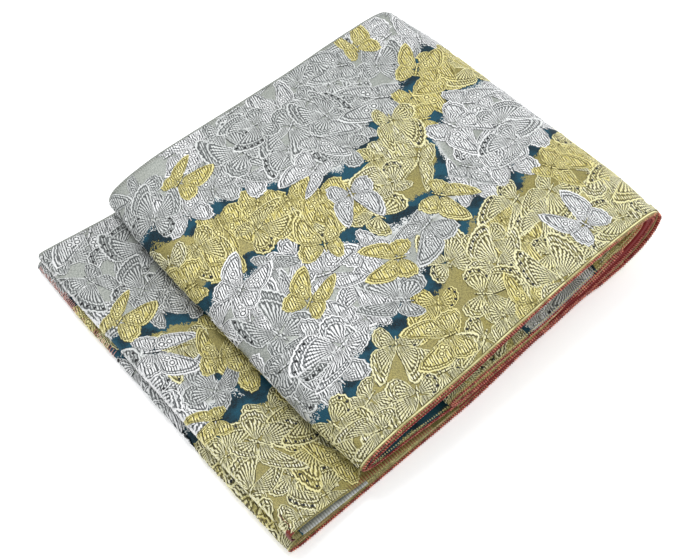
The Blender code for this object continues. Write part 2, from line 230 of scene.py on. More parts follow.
def path_curve(path, at):
    """x and z at each row number in at and each place across, on a centripetal curve."""
    x_front, z_front, x_back, z_back, bulge, lift = np.array([row[1:7] for row in path]).T[..., None]
    inland = smooth((1.0 - np.abs(ACROSS)) * HALF / EDGE_BAND)
    x = x_front * (1 - PART) + x_back * PART + bulge * inland
    z = z_front * (1 - PART) + z_back * PART + lift * inland
    rows = np.stack([x, z], -1)
    rows = np.concatenate([2 * rows[:1] - rows[1:2], rows, 2 * rows[-1:] - rows[-2:-1]])
    i = np.clip(at.astype(int), 0, len(path) - 2)
    p0, p1, p2, p3 = (rows[i + k] for k in range(4))

    def knot(p, q):
        return np.sqrt(np.linalg.norm(q - p, axis=-1, keepdims=True))

    k1 = knot(p0, p1)
    k2 = k1 + knot(p1, p2)
    k3 = k2 + knot(p2, p3)
    k = k1 + (k2 - k1) * (at - i)[:, None, None]
    a1 = between(p0, p1, k / k1)
    a2 = between(p1, p2, (k - k1) / (k2 - k1))
    a3 = between(p2, p3, (k - k2) / (k3 - k2))
    b1 = between(a1, a2, k / k2)
    b2 = between(a2, a3, (k - k1) / (k3 - k1))
    point = between(b1, b2, (k - k1) / (k2 - k1))
    return point[..., 0], np.maximum(point[..., 1], WALL / 2)


def unit(vectors):
    return vectors / np.maximum(np.linalg.norm(vectors, axis=-1, keepdims=True), 1e-9)


def normals_of(points):
    return unit(np.cross(np.gradient(points, axis=0), np.gradient(points, axis=1)))


def crease_depth(u, v, creases):
    total = 0.0
    for u0, v0, angle, length, width, height in creases:
        c, s = math.cos(math.radians(angle)), math.sin(math.radians(angle))
        along = (u - u0) * c + (v - v0) * s
        off = (v - v0) * c - (u - u0) * s
        total = total + height * np.exp(-(off / width) ** 2) * smooth(1.5 - np.abs(along) / length)
    return total


class Sheet:
    """A stretch of cloth, as a map from a place on the flat cloth and a height over it to space."""

    def __init__(self, x, z, y, zero, creases=(), offset=0.0, half=WALL / 2):
        """x and z have a row for each sample along the stretch and a column for each across it; zero is
        u at the first sample and half is half of the cloth's thickness, at each sample where it varies."""
        points = np.stack([x - CENTRE[0], np.broadcast_to(y, x.shape) - CENTRE[1], z], -1)
        points = points + normals_of(points) * offset
        middle = points[:, SHARES // 2]
        run = np.concatenate([[0.0], np.cumsum(np.linalg.norm(np.diff(middle, axis=0), axis=1))])
        self.length = run[-1]
        count = int(self.length / MAP_STEP)
        self.step = self.length / count
        marks = np.linspace(0.0, self.length, count + 1)
        columns = [np.interp(marks, run, column) for column in points.reshape(len(points), -1).T]
        self.points = np.stack(columns, -1).reshape(count + 1, *points.shape[1:])
        self.normals = normals_of(self.points)
        self.start, self.end = zero, zero + self.length
        self.half = zero + run, np.broadcast_to(half, run.shape)
        if creases:
            depth = crease_depth(zero + marks[:, None], ACROSS * HALF, creases)
            self.points = self.points + self.normals * depth[..., None]
            self.normals = normals_of(self.points)

    def half_wall(self, u):
        return np.interp(u, *self.half)

    def breadth(self):
        """Width from selvedge to selvedge in the middle of the stretch."""
        row = self.points[len(self.points) // 2]
        return float(row[-1, 1] - row[0, 1])

    def place(self, u, v, height):
        """Points in space, in millimetres, for arrays of u, v and height over the cloth's middle."""
        u, v, height = np.broadcast_arrays(u, v, height)
        i = (u - self.start) / self.step
        j = (v / HALF + 1.0) / 2.0 * (SHARES - 1)
        i0, j0 = (np.clip(np.floor(k).astype(int), 0, count - 2)
                  for k, count in zip((i, j), self.points.shape))
        a, b = (i - i0)[..., None], (j - j0)[..., None]

        def read(table):
            low = table[i0, j0] * (1 - b) + table[i0, j0 + 1] * b
            high = table[i0 + 1, j0] * (1 - b) + table[i0 + 1, j0 + 1] * b
            return low * (1 - a) + high * a

        return read(self.points) + unit(read(self.normals)) * height[..., None]


def path_sheet(path, first, last, zero, offset=0.0, edge=None, creases=()):
    """The stretch of a path from station first to station last, with u equal to x at the station zero."""
    first, last, zero = (row_number(path, station) for station in (first, last, zero))
    at = np.linspace(first, last, (last - first) * SAMPLES + 1)
    x, z = path_curve(path, at)
    if edge:
        front = read_table(edge, x) - INNER_BACK
    else:
        fronts = np.array([row.front for row in path])
        i = np.clip(at.astype(int), 0, len(path) - 2)
        front = between(fronts[i], fronts[i + 1], smooth(at - i))[:, None]
    y = ACROSS * np.where(ACROSS < 0.0, front, HALF)
    k, middle = int(np.argmin(np.abs(at - zero))), SHARES // 2
    before = np.hypot(np.diff(x[:k + 1, middle]), np.diff(z[:k + 1, middle])).sum()
    return Sheet(x, z, y, x[k, middle] - CENTRE[0] - before, creases, offset)


# The stretches of the sash

def stretches():
    return {
        "top": path_sheet(OUTER_PATH, "return_end", "turn_foot", "middle", creases=TOP_CREASES),
        "lowest": path_sheet(OUTER_PATH, "turn_foot", "fold_end", "fold_out"),
        "inner": path_sheet(OUTER_PATH, "return_end", "bed_middle", "middle", -PITCH, INNER_EDGE),
        "lower": path_sheet(LOWER_PATH, "under_end", "end", "strip", creases=LOWER_CREASES),
        "tucked": path_sheet(TUCKED_PATH, "under_end", "right_end", "middle", creases=TUCKED_CREASES),
    }


def right_sheets():
    """The nested layers that turn round inside the right fold."""
    low = row_number(OUTER_PATH, "bed_right")
    right, left = OUTER_PATH[low].x_front, OUTER_PATH[low + 1].x_front
    rows = [(row_number(OUTER_PATH, station), x, z) for station, x, z in RIGHT_BUNDLE]
    rows.append((low + (right - BUNDLE_END[0]) / (right - left), *BUNDLE_END))
    row, x_in, z_in = np.array(rows, float).T
    at = np.linspace(row[0], row[-1], int((row[-1] - row[0]) * SAMPLES))
    x, z = path_curve(OUTER_PATH, at)
    dx, dz = np.gradient(x, axis=0), np.gradient(z, axis=0)
    reach = (PITCH + WALL / 2 + GAP) / np.hypot(dx, dz)
    x, z = x + dz * reach, z - dx * reach
    x_in = np.interp(at, row, x_in)[:, None]
    z_in = np.interp(at, row, z_in)[:, None] - PART * BUNDLE_TILT
    thick = np.hypot(x - x_in, z - z_in).mean(1) / len(BUNDLE)
    made = []
    for k, (back, zero) in enumerate(BUNDLE):
        part = (k + 0.5) / len(BUNDLE)
        side = np.where(ACROSS < 0.0, BUNDLE_REACH[0] - back, BUNDLE_REACH[1]) - BUNDLE_STAGGER * part
        made.append(Sheet(between(x, x_in, part), between(z, z_in, part), ACROSS * side, zero,
                          half=thick * LAYER_SHARE / 2))
    return made


def level(path, first, last, x):
    """Heights of a stretch of path that runs one way in x, at each x and place across."""
    xs, zs = path_curve(path, np.linspace(row_number(path, first), row_number(path, last), LEVEL_SAMPLES))
    order = 1 if xs[-1, 0] > xs[0, 0] else -1
    return np.stack([np.interp(x, xs[::order, c], zs[::order, c]) for c in range(SHARES)], -1)


def along(pack):
    return np.linspace(pack.first, pack.last, PACK_SAMPLES)


def packed_sheets(pack, bottom, top):
    """Layers packed flat between two stretches, whose heights are given along the pack."""
    x = along(pack)
    closing = END_SQUEEZE * (1.0 - smooth(np.minimum(x - pack.first, pack.last - x) / END_ROUND))[:, None]
    bottom, top = between(bottom, top, closing), between(top, bottom, closing)
    half = (top - bottom).mean(1) / pack.layers * LAYER_SHARE / 2
    y = ACROSS * np.where(ACROSS < 0.0, pack.front, pack.back)
    return [Sheet(np.repeat(x[:, None], SHARES, 1), between(bottom, top, (k + 0.5) / pack.layers), y,
                  PACK_ZERO * k, half=half) for k in range(pack.layers)]


def tucked_sheets():
    x, air = along(TUCKED_PACK), WALL / 2 + TUCKED_PACK.air
    open_left, open_right = TUCKED_PATH[0].x_front, TUCKED_PATH[-1].x_front
    left = level(TUCKED_PATH, "under_end", "left_under", np.minimum(x, open_left))
    right = level(TUCKED_PATH, "right_under", "right_end", np.maximum(x, open_right))
    part = smooth((x - open_left) / (open_right - open_left))[:, None]
    return packed_sheets(TUCKED_PACK, between(left, right, part) + air,
                         level(TUCKED_PATH, "left_over", "right_over", x) - air)


def left_sheets():
    x, air = along(LEFT_PACK), PITCH + WALL / 2 + LEFT_PACK.air
    return packed_sheets(LEFT_PACK, level(OUTER_PATH, "return_end", "tip_under", x) + air,
                         level(OUTER_PATH, "rise", "middle", x) - air)


def lower_sheets():
    at, front, back = np.array(LOWER_TOP).T
    front, back = (np.interp(along(LOWER_PACK), at, side)[:, None] for side in (front, back))
    return packed_sheets(LOWER_PACK, WALL + LOWER_PACK.air, between(front, back, PART))


# Meshes. The points of a piece are a table with a row for each: x, y, z and its cloth place u, v.

def make_mesh(name, table, faces, material, slot, bake=None, **values):
    """An object from a table of points and arrays of faces; it rides on the only body. bake holds the
    points' places for baking and values other numbers of theirs, by name."""
    mesh = bpy.data.meshes.new(name)
    faces = [part for part in faces if len(part)]
    sizes = np.concatenate([np.full(len(part), part.shape[1]) for part in faces])
    loops = np.concatenate([part.ravel() for part in faces]).astype(np.int32)
    mesh.vertices.add(len(table))
    mesh.vertices.foreach_set("co", (table[:, :3] * MM).astype(np.float32).ravel())
    mesh.loops.add(len(loops))
    mesh.loops.foreach_set("vertex_index", loops)
    mesh.polygons.add(len(sizes))
    mesh.polygons.foreach_set("loop_start", np.concatenate([[0], np.cumsum(sizes)[:-1]]).astype(np.int32))
    for label, places in (("OFBake", bake), ("cloth", table[:, 3:] * MM)):
        if places is not None:
            layer = mesh.uv_layers.new(name=label)
            layer.data.foreach_set("uv", places[loops].astype(np.float32).ravel())
    for label, numbers in values.items():
        attribute = mesh.attributes.new(label, "FLOAT", "POINT")
        attribute.data.foreach_set("value", numbers.astype(np.float32))
    mesh.update(calc_edges=True)
    mesh.validate()
    mesh.shade_smooth()
    mesh.materials.append(material)
    item = bpy.data.objects.new(name, mesh)
    bpy.context.scene.collection.objects.link(item)
    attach(item, "root")
    return item


def table_of(*columns):
    """Arrays as the columns of one table."""
    return np.stack([column.ravel() for column in np.broadcast_arrays(*columns)], -1)


def grid_quads(rows, columns, wrap=False, flip=False):
    """Quads of a grid of points; with wrap its last column joins the first, and flip turns them over."""
    r, c = np.meshgrid(np.arange(rows - 1), np.arange(columns if wrap else columns - 1), indexing="ij")
    a = (r * columns + c).ravel()
    b = (r * columns + (c + 1) % columns).ravel()
    return np.stack([a, b, b + columns, a + columns] if flip else [a, a + columns, b + columns, b], -1)


def joined(parts):
    """Several tables of points with their faces as one."""
    faces, start = {}, 0
    for table, groups in parts:
        for group in groups:
            faces.setdefault(group.shape[1], []).append(group + start)
        start += len(table)
    return np.concatenate([part[0] for part in parts]), [np.concatenate(group) for group in faces.values()]


def baked(table):
    """Places for baking, spread over the picture but for a narrow margin."""
    return (table - table.min(0)) / np.ptp(table, 0) * 0.996 + 0.002


SQUEEZE_BAND = 3.2       # the cloth thins over this width to its pressed selvedge
SQUEEZE_STEPS = np.array([0.35, 0.65, 0.9])      # columns of the shell in that band
SQUEEZED = 0.5           # it thins to this share of its thickness
RIM = ((0.0, 0.3), (0.2, 0.0), (0.0, -0.3))      # out from the selvedge, height in half walls
END_STEP = 0.5           # the ends of a shell are rounded over this length
END_SHARE = 0.85         # to this share of its thickness


def squeeze(v):
    """Share of its thickness that the cloth keeps at v."""
    near = np.clip((np.abs(v) - HALF + SQUEEZE_BAND) / SQUEEZE_BAND, 0.0, 1.0)
    return 1.0 - (1.0 - SQUEEZED) * near ** 2


def tube(sheet, step_u, step_v):
    """Points, faces and places for baking of a thin closed shell round a stretch. Each ring of points
    runs over the cloth from front to back, round its back edge, back under it and round the front edge."""
    inland = HALF - SQUEEZE_BAND
    near = inland + SQUEEZE_BAND * SQUEEZE_STEPS
    over = np.linspace(-inland, inland, round(2.0 * inland / step_v) + 1)
    over = np.concatenate([-near[::-1], over, near])
    rim_v, rim_h = np.array(RIM).T
    ring_v = np.concatenate([over, HALF + rim_v, over[::-1], -HALF - rim_v])
    ring_h = np.concatenate([squeeze(over), rim_h, -squeeze(over), -rim_h])
    steps = round(sheet.length / step_u) + 1
    u = np.linspace(sheet.start + END_STEP, sheet.end - END_STEP, steps)
    u = np.concatenate([[sheet.start], u, [sheet.end]])[:, None]
    half = sheet.half_wall(u)
    half[[0, -1]] *= END_SHARE
    points = sheet.place(u, ring_v, half * ring_h).reshape(-1, 3)
    places = table_of(u, ring_v)

    last, n = len(over) - 1, len(ring_v)
    k = np.arange(last)
    under = 2 * last + 4 - k
    cap = np.stack([under, k, k + 1, under - 1], -1)
    edges = np.array([[last + 4, last, last + 1, last + 2, last + 3],
                      [2 * last + 4, 2 * last + 5, 2 * last + 6, 2 * last + 7, 0]])
    far = (len(u) - 1) * n
    faces = [grid_quads(len(u), n, wrap=True), cap, cap[:, ::-1] + far,
             np.concatenate([edges, edges[:, ::-1] + far])]
    side = np.arange(n) > last + 2
    across = np.clip((ring_v / HALF + 1.0) / 4.0 + side * 0.5, 0.001, 0.999)
    bake = table_of(between(0.002, 0.998, (u - sheet.start) / sheet.length), across)[:, ::-1]
    return np.hstack([points, places]), faces, bake


def shell(name, sheet, node, material, slot, step_u, step_v):
    """A thin closed shell that stands for a node: the stretch itself, with its thickness."""
    table, faces, bake = tube(sheet, step_u, step_v)
    item = make_mesh(name, table, faces, material, slot, bake)
    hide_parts(node)
    return item


def stack(name, sheets, material):
    """Several hidden layers as one piece that stands for their node, and its flat size."""
    table, faces = joined([tube(sheet, 4.0, 11.0)[:2] for sheet in sheets])
    item = make_mesh(name + "_cloth", table, faces, material, "brocade_inner")
    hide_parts(name)
    return item, (sheets[0].breadth() * MM, sum(sheet.length for sheet in sheets) * MM)


# Materials

def rgb(r, g, b):
    """A colour given as it looks on a screen, 0 to 255."""
    def linear(c):
        c /= 255.0
        return c / 12.92 if c <= 0.04045 else ((c + 0.055) / 1.055) ** 2.4
    return linear(r), linear(g), linear(b), 1.0


class Value:
    """A number, vector or colour that a look's nodes work out. Arithmetic with it adds further nodes."""

    def __init__(self, look, socket):
        self.look, self.socket = look, socket

    def maths(self, operation, *others):
        return self.look.node("Math", dict(enumerate((self, *others))), operation=operation)

    def __add__(self, other):
        return self.maths("ADD", other)

    def __mul__(self, other):
        return self.maths("MULTIPLY", other)

    __radd__, __rmul__ = __add__, __mul__

    def __sub__(self, other):
        return self.maths("SUBTRACT", other)

    def __rsub__(self, other):
        return self.look.node("Math", {0: other, 1: self}, operation="SUBTRACT")

    def __lt__(self, other):
        return self.maths("LESS_THAN", other)

    def __gt__(self, other):
        return self.maths("GREATER_THAN", other)

    def __abs__(self):
        return self.maths("ABSOLUTE")

    def beat(self, pitch):
        """A sine wave of this pitch."""
        return (self * (TURN / pitch)).maths("SINE")

    def step(self, low, high):
        """0 below low, 1 above high and a smooth rise between them."""
        return self.look.node("MapRange", {0: self, 1: low, 2: high}, interpolation_type="SMOOTHSTEP")

    def stretched(self, x, y):
        return self.look.node("VectorMath", {0: self, 1: (x, y, 1.0)}, operation="MULTIPLY")

    def noise(self, scale=1.0, detail=2.0):
        inputs = {"Vector": self, "Scale": scale, "Detail": detail}
        return self.look.node("TexNoise", inputs, "Fac", noise_dimensions="2D")

    def ramp(self, places, colours):
        made = self.look.node("ValToRGB", {"Fac": self}, "Color")
        elements = made.socket.node.color_ramp.elements
        while len(elements) < len(colours):
            elements.new(0.5)
        for element, place, colour in zip(elements, places, colours):
            element.position = place
            element.color = rgb(*colour)
        return made

    def read(self, table):
        """The second column of a table, where its first has this value."""
        low, high = TABLE_RANGE
        made = self.look.node("FloatCurve", {"Value": (self - low).maths("DIVIDE", high - low)})
        mapping = made.socket.node.mapping
        points = [(low, table[0][1]), *table, (high, table[-1][1])]
        while len(mapping.curves[0].points) < len(points):
            mapping.curves[0].points.new(0.5, 0.5)
        for point, (at, value) in zip(mapping.curves[0].points, points):
            point.location = ((at - low) / (high - low), value / TABLE_SPAN + 0.5)
            point.handle_type = "VECTOR"
        mapping.update()
        return (made - 0.5) * TABLE_SPAN


class Look:
    """A material, and what adds nodes to it."""

    def __init__(self, name, roughness, metallic, sheen=0.0):
        self.material = bpy.data.materials.new(name)
        self.material.use_nodes = True
        self.tree = self.material.node_tree
        self.shader = self.tree.nodes["Principled BSDF"]
        self.feed(self.shader, {"Roughness": roughness, "Metallic": metallic, "Sheen Weight": sheen})

    def feed(self, node, inputs):
        for key, value in inputs.items():
            if isinstance(value, Value):
                self.tree.links.new(value.socket, node.inputs[key])
            else:
                node.inputs[key].default_value = value

    def node(self, kind, inputs, output=0, **settings):
        """One output of a new node."""
        made = self.tree.nodes.new("ShaderNode" + kind)
        for key, value in settings.items():
            setattr(made, key, value)
        self.feed(made, inputs)
        return Value(self, made.outputs[output])

    def mix(self, share, a, b):
        """Colour a where share is 0 and b where it is 1."""
        return self.node("Mix", {0: share, 6: a, 7: b}, 2, data_type="RGBA")

    def cloth_places(self):
        """Cloth places in millimetres: the vector, u and v."""
        uv = self.node("UVMap", {}, uv_map="cloth")
        place = self.node("VectorMath", {0: uv, 1: (1 / MM, 1 / MM, 0.0)}, operation="MULTIPLY")
        return place, *(self.node("SeparateXYZ", {0: place}, axis) for axis in (0, 1))

    def done(self, colour, height, strength, distance):
        """The material, with this colour and a bump of this height."""
        bump = self.node("Bump", {"Height": height, "Strength": strength, "Distance": distance * MM})
        self.feed(self.shader, {"Base Color": colour, "Normal": bump})
        return self.material


TABLE_RANGE = (-560.0, 320.0)
TABLE_SPAN = 400.0       # the tables that materials read hold values within half of this from 0

# Bands of gold and silver along the cloth. A seam is a table of u and v; the cloth is silver above the
# first seam, gold down to the second, silver down to the third and gold below it.
TOP_SEAMS = (
    ((-119, 97), (-90, 79), (-73, 83), (-57, 74), (-32, 70), (-8, 48), (8, 43), (25, 34), (43, 36),
     (67, 50), (92, 60), (112, 62), (141, 75), (168, 91), (187, 91)),
    ((-124, 26), (-95, 25), (-71, 20), (-50, 11), (-33, 2), (-14, -10), (20, -20), (60, -30),
     (90, -12), (100, 20), (130, 35), (160, 42), (200, 45)),
    ((-133, -113), (-97, -108), (-60, -95), (-42, -94), (-12, -88), (6, -83), (23, -73), (44, -65),
     (71, -57), (90, -54), (114, -63), (137, -49), (154, -43), (200, -40)),
)
LOWER_SEAMS = (
    ((-215, 46), (-187, 44), (-143, 40), (-125, 32), (-100, 30)),
    ((-215, 42), (-178, 38), (-168, 22), (-160, -4), (-149, -22), (-140, -50), (-100, -54)),
    ((-255, -170), (-199, -170), (-192, -66), (-190, -70), (-172, -54), (-150, -54), (-100, -60)),
)
FOLD_SEAMS = (
    ((-550, 80), (-450, 96), (-350, 74), (-260, 92), (-205, 104), (-180, 103)),
    ((-550, 10), (-450, 32), (-350, 4), (-260, 30), (-205, 50), (-180, 48)),
    ((-550, -70), (-450, -92), (-350, -64), (-260, -80), (-205, -48), (-180, -46)),
)
BACK_SEAMS = (
    ((-240, 92), (-150, 70), (-60, 84), (20, 58), (110, 66), (200, 92), (320, 80)),
    ((-240, 10), (-150, 24), (-60, 12), (20, -16), (110, 20), (200, 44), (320, 26)),
)
HIDDEN_SEAMS = (
    *BACK_SEAMS,
    ((-275, -146), (-110, -146), (-80, -120), (-50, -92), (20, -74), (110, -60), (200, -44), (320, -70)),
)
TUCKED_SEAMS = (
    *BACK_SEAMS,
    ((-240, -96), (-60, -92), (10, -74), (30, -120), (44, -172), (104, -172), (118, -120), (134, -60),
     (320, -70)),
)
LAYER_SEAMS = tuple(((-240, v), (320, v)) for v in (60, 40, -128))

SEAM_WANDER = 14.0       # how far a seam wanders, both ways together
TEAL_WIDTH = (14.0, 9.5)     # how far the teal reaches from a seam, into silver and into gold
TEAL_FADE = (9.5, 3.0)   # the stippled part of that
STIPPLE = (0.55, 0.85, 1.0)
PALE_BAND = (12.0, 20.0)     # beside the teal the silver is pale, and turns grey over this distance
GREY_SATIN = (rgb(136, 142, 138), rgb(192, 196, 190))
OLIVE_SATIN = (rgb(122, 112, 50), rgb(178, 166, 92))
TEAL_SATIN = (rgb(0, 18, 26), rgb(20, 86, 108))
PALE_SILVER, DUSTY = rgb(224, 227, 226), rgb(120, 122, 106)
GLINTS = (rgb(214, 216, 216), rgb(232, 222, 150))
EDGE_GOLD, RIM_RED, TICK_RED = rgb(240, 234, 176), rgb(122, 2, 0), rgb(128, 40, 22)
EDGE_LINE = (1.8, 2.9)   # the gold line lies this far in from the front selvedge
TICK_START = 6.0         # the red ticks set in over twice this distance
RIB = 2.1                # pitch of the ribs along a selvedge
RIB_FADE = (2.5, 6.5)    # they fade out this far in
OLIVE_RIBS = (0.45, rgb(64, 62, 40))
RED_RIBS = (0.9, rgb(172, 8, 2))


def ground_material(name, seams, rim=None, glint=False, ribs=OLIVE_RIBS, red_from=None):
    """Satin ground of the brocade: grey and olive bands, with dark teal along their seams. A rim is a red
    line at the very edge of the front selvedge, a table of u and its width. With glint, pattern threads
    show here and there. The ribs along the front selvedge have a strength and a colour, and red ticks
    from red_from on; those at the back are olive."""
    look = Look(name, 0.45, 0.25)
    place, u, v = look.cloth_places()
    wander = (place.noise(0.09, 3.0) - 0.5) * SEAM_WANDER
    edges = [v - u.read(seam) + wander for seam in seams]
    above = [edge.step(-0.4, 0.4) for edge in edges]
    gold = ((1.0 - above[0]) * above[1]).maths("MAXIMUM", 1.0 - above[2])
    near = abs(edges[0]).maths("MINIMUM", abs(edges[1])).maths("MINIMUM", abs(edges[2]))
    cells = look.node("VectorMath", {0: place, 1: STIPPLE}, operation="SNAP")
    specks = look.node("TexWhiteNoise", {"Vector": cells}, "Value", noise_dimensions="2D")
    reach = near + specks * between(*TEAL_FADE, gold) - between(*TEAL_WIDTH, gold)
    teal = 1.0 - reach.step(0.0, 0.5)
    satin = place.stretched(1.5, 0.6).noise(1.0, 3.0).step(0.30, 0.70)
    blotch = place.noise(0.05)
    silver = look.mix(near.step(*PALE_BAND), PALE_SILVER, look.mix(satin, *GREY_SATIN))
    bands = look.mix(gold, silver, look.mix(satin, *OLIVE_SATIN))
    bands = look.mix(blotch * 0.35, bands, DUSTY)
    deep = satin * 0.4 + blotch.step(0.36, 0.62) * 0.6
    colour = look.mix(teal, bands, look.mix(deep, *TEAL_SATIN))
    if glint:
        shown = place.stretched(0.7, 0.9).noise().step(0.5, 0.56) * (0.8 - teal)
        colour = look.mix(shown.maths("MAXIMUM", 0.0), colour, look.mix(gold, *GLINTS))
    inward = HALF - abs(v)
    cords = u.beat(RIB).step(-0.3, 0.6) * (1.0 - (inward + blotch).step(*RIB_FADE))
    front = v < 0.0
    strength = between(OLIVE_RIBS[0], ribs[0], front)
    colour = look.mix(cords * strength, colour, look.mix(front, OLIVE_RIBS[1], ribs[1]))
    if red_from is not None:
        ticks = cords * front * u.step(red_from - TICK_START, red_from + TICK_START)
        colour = look.mix(ticks * 0.75, colour, TICK_RED)
    if rim:
        uneven = cords if glint else between(0.4, 1.0, blotch.step(0.4, 0.6))
        line = (inward > EDGE_LINE[0]) * (inward < EDGE_LINE[1]) * uneven
        colour = look.mix(line * front, colour, EDGE_GOLD)
        colour = look.mix((inward < u.read(rim)) * front, colour, RIM_RED)
    look.feed(look.shader, {"Roughness": teal * 0.3 + 0.45})
    return look.done(colour, satin - cords, 0.35, 0.12)


HATCH = 2.0              # pitch of the pattern threads' floats, along the sash
HATCH_SLANT = 0.32       # how far they lean along the sash for each millimetre across it
CREASE_HIGHLIGHT = (0.5, 1.7)      # how far the painted highlight along a crease reaches, full and at all
TONES = (0.0, 0.25, 0.5, 0.72, 1.0)
SILVER = ((30, 34, 38), (86, 90, 92), (190, 192, 193), (240, 242, 242), (254, 254, 254))
DULL_SILVER = ((52, 56, 58), (96, 100, 100), (156, 160, 158), (196, 200, 198), (238, 240, 239))
PALE_GOLD = ((42, 36, 14), (94, 87, 38), (178, 171, 108), (224, 218, 156), (252, 248, 204))
CREAM = ((40, 34, 16), (96, 90, 50), (188, 184, 140), (233, 229, 192), (254, 252, 234))
WARM_GOLD = ((46, 38, 12), (108, 97, 36), (184, 172, 92), (222, 210, 126), (250, 242, 180))
BLACK, DOT_BLACK = rgb(0, 0, 0), rgb(20, 24, 26)


def thread_material(name, shade=0.0, crease=None):
    """Metallic pattern threads: bright raised lines, hatched filling and dark outlines, from the tone of
    each point, in silver or gold from its metal. The dark outlines stand partly for the cloth's dark
    outline threads and partly for painted shade in the hollows beside the raised lines. Along a crease
    at this u the threads get a painted highlight, where the fold catches the light, and shade darkens
    the whole colour by its share, as painted shade."""
    look = Look(name, 0.46, 0.30, 0.1)
    place, u, v = look.cloth_places()
    tone, metal, warmth = (look.node("Attribute", {}, "Fac", attribute_name=label)
                           for label in ("tone", "metal", "warmth"))
    across = v * -HATCH_SLANT + u
    hatch = (across + place.noise(0.30)).beat(HATCH) * 0.5 + 0.5
    groove = 0.62 - hatch.step(0.08, 0.62)
    runs = look.node("CombineXYZ", {0: across * 0.5, 1: v * 0.2}).noise(1.0, 1.0)
    inside = tone.step(0.28, 0.46) * (1.0 - tone.step(0.66, 0.84))
    rich = warmth.step(0.3, 0.6)
    strength = metal * (rich * 0.3 - 0.4) - 0.9
    swing = groove * (inside * runs.step(0.34, 0.5) * strength)
    floats = place.stretched(2.4, 0.7).noise()
    level = tone + swing + (floats - 0.5) * 0.62
    # painted highlight along the crease, where the fold catches the light
    if crease is not None:
        level = level + (1.0 - abs(u - crease).step(*CREASE_HIGHLIGHT)) * 0.55
    silver, dull, pale, cream, warm = (level.ramp(TONES, colours) for colours in
                                       (SILVER, DULL_SILVER, PALE_GOLD, CREAM, WARM_GOLD))
    pale = look.mix(inside * between(0.7, 0.2, warmth.step(0.1, 0.4)), pale, cream)
    colour = look.mix(metal, look.mix(rich, dull, silver), look.mix(rich, pale, warm))
    # painted shade: the whole colour is mixed toward black by this share, for pieces in the shadow of the
    # upper ones
    colour = look.mix(shade, colour, BLACK)
    colour = look.mix(1.0 - tone.step(-0.6, -0.35), colour, DOT_BLACK)
    return look.done(colour, level, 0.9, 0.3)


YARN_HIGHLIGHT_PITCH = 1.7          # pitch of the light and dark places along a row of sewing; the light ones are painted highlights on the loops
# each yarn: its dark colour, and its light one, which shows in worn places and as painted highlights
RED_YARN = (rgb(112, 3, 0), rgb(255, 158, 124))
PALE_RED = (rgb(194, 118, 108), rgb(236, 188, 176))
DARK_RED = (rgb(84, 14, 0), rgb(142, 48, 16))


def yarn_material(name, dark, light, roughness):
    """Twisted sewing thread, worn light in places, with a painted highlight at each beat along the row."""
    look = Look(name, roughness, 0.0, 0.3)
    place, u, _ = look.cloth_places()
    fibres = place.stretched(2.0, 5.0).noise()
    worn = place.stretched(0.36, 0.12).noise(1.0, 1.0)
    share = worn.step(0.38, 0.58) * 0.40 + fibres.step(0.35, 0.7) * 0.20
    # painted highlights, one at each beat along the row
    share = share + u.beat(YARN_HIGHLIGHT_PITCH).step(-0.1, 0.8) * 0.40
    return look.done(look.mix(share, dark, light), fibres, 0.4, 0.1)


FLOOR_GLOW = 0.35
FLOOR_WHITES = (rgb(250, 250, 250), rgb(253, 253, 253))


def floor_material():
    look = Look("floor", 0.85, 0.0)
    place = look.node("TexCoord", {}, "Object")
    grain = look.node("TexNoise", {"Vector": place, "Scale": 60.0}, "Fac")
    colour = look.mix(grain, *FLOOR_WHITES)
    look.feed(look.shader, {"Base Color": colour, "Emission Color": colour, "Emission Strength": FLOOR_GLOW})
    return look.material


# Butterflies. A wing is a fan of lines from its root: reach gives its length at each share t of its
# spread, from -1 at the rear to 1 at the front, in shares of the wing's length.

Wing = namedtuple("Wing", "side squash fore root axis half length reach")
Butterfly = namedtuple("Butterfly", "u v heading size style metal warmth lift squash")

FAN_FORE = ((-1, .52), (-.9, .60), (-.6, .68), (-.3, .73), (.1, .82), (.5, .92), (.80, 1), (.93, .97),
            (1, .88))
FAN_HIND = ((-1, .50), (-.85, .78), (-.55, .93), (-.2, 1), (.2, .97), (.6, .85), (1, .62))
PETAL_FORE = ((-1, .40), (-.9, .52), (-.6, .62), (-.3, .70), (0, .79), (.3, .90), (.55, .99), (.66, 1),
              (.78, .88), (.9, .66), (1, .40))
PETAL_HIND = ((-1, .40), (-.85, .66), (-.6, .88), (-.35, 1), (-.1, .95), (.2, .97), (.5, .9), (.8, .84),
              (1, .7))
WINGS = {
    # fore wing or not, how far ahead its root lies, axis and half of its spread in degrees, length, reach
    "fan": ((False, -1.5, 109, 38, 24.0, FAN_HIND), (True, 2.0, 50, 33, 38.0, FAN_FORE)),
    "petal": ((False, -1.5, 106, 40, 24.0, PETAL_HIND), (True, 2.0, 50, 34, 38.0, PETAL_FORE)),
}
ROOT_SIDE = 0.6          # the roots of the wings lie this far beside the middle
RELIEF_EDGE = 152.4      # the pattern stops this far from the middle, short of the selvedge stitches
MIDDLE = 5.5             # radius round a butterfly's middle where nothing shows under it
NEAR = 110.0             # butterflies farther apart than this don't overlap
GROUND = -0.1            # height of the foot of the skirt round a wing
SUNK = -0.12             # height of the points of a wing that lie under another one
SKIRT = 0.85             # the outline falls to the ground over this width; its dark tone there is painted shadow round the raised wing
WING_HEIGHT = (0.12, 0.48)   # of its dark and of its bright lines
SPOT_HEIGHT = 0.52
DOTTED = 0.36            # share of the fan wings with black dots along their border
DOTTED_SIZE = 0.62       # smaller wings have none
DOT_RADII = (1.15, 0.75)
RING_SPOTS = ((0.1, .50), (0.28, .30), (-0.25, .34))     # place across and out along a petal wing
RING_RADII, RING_TONES = (1.0, .72, .45, .25), (0.0, 1.0, 0.0, 1.0, 1.0)

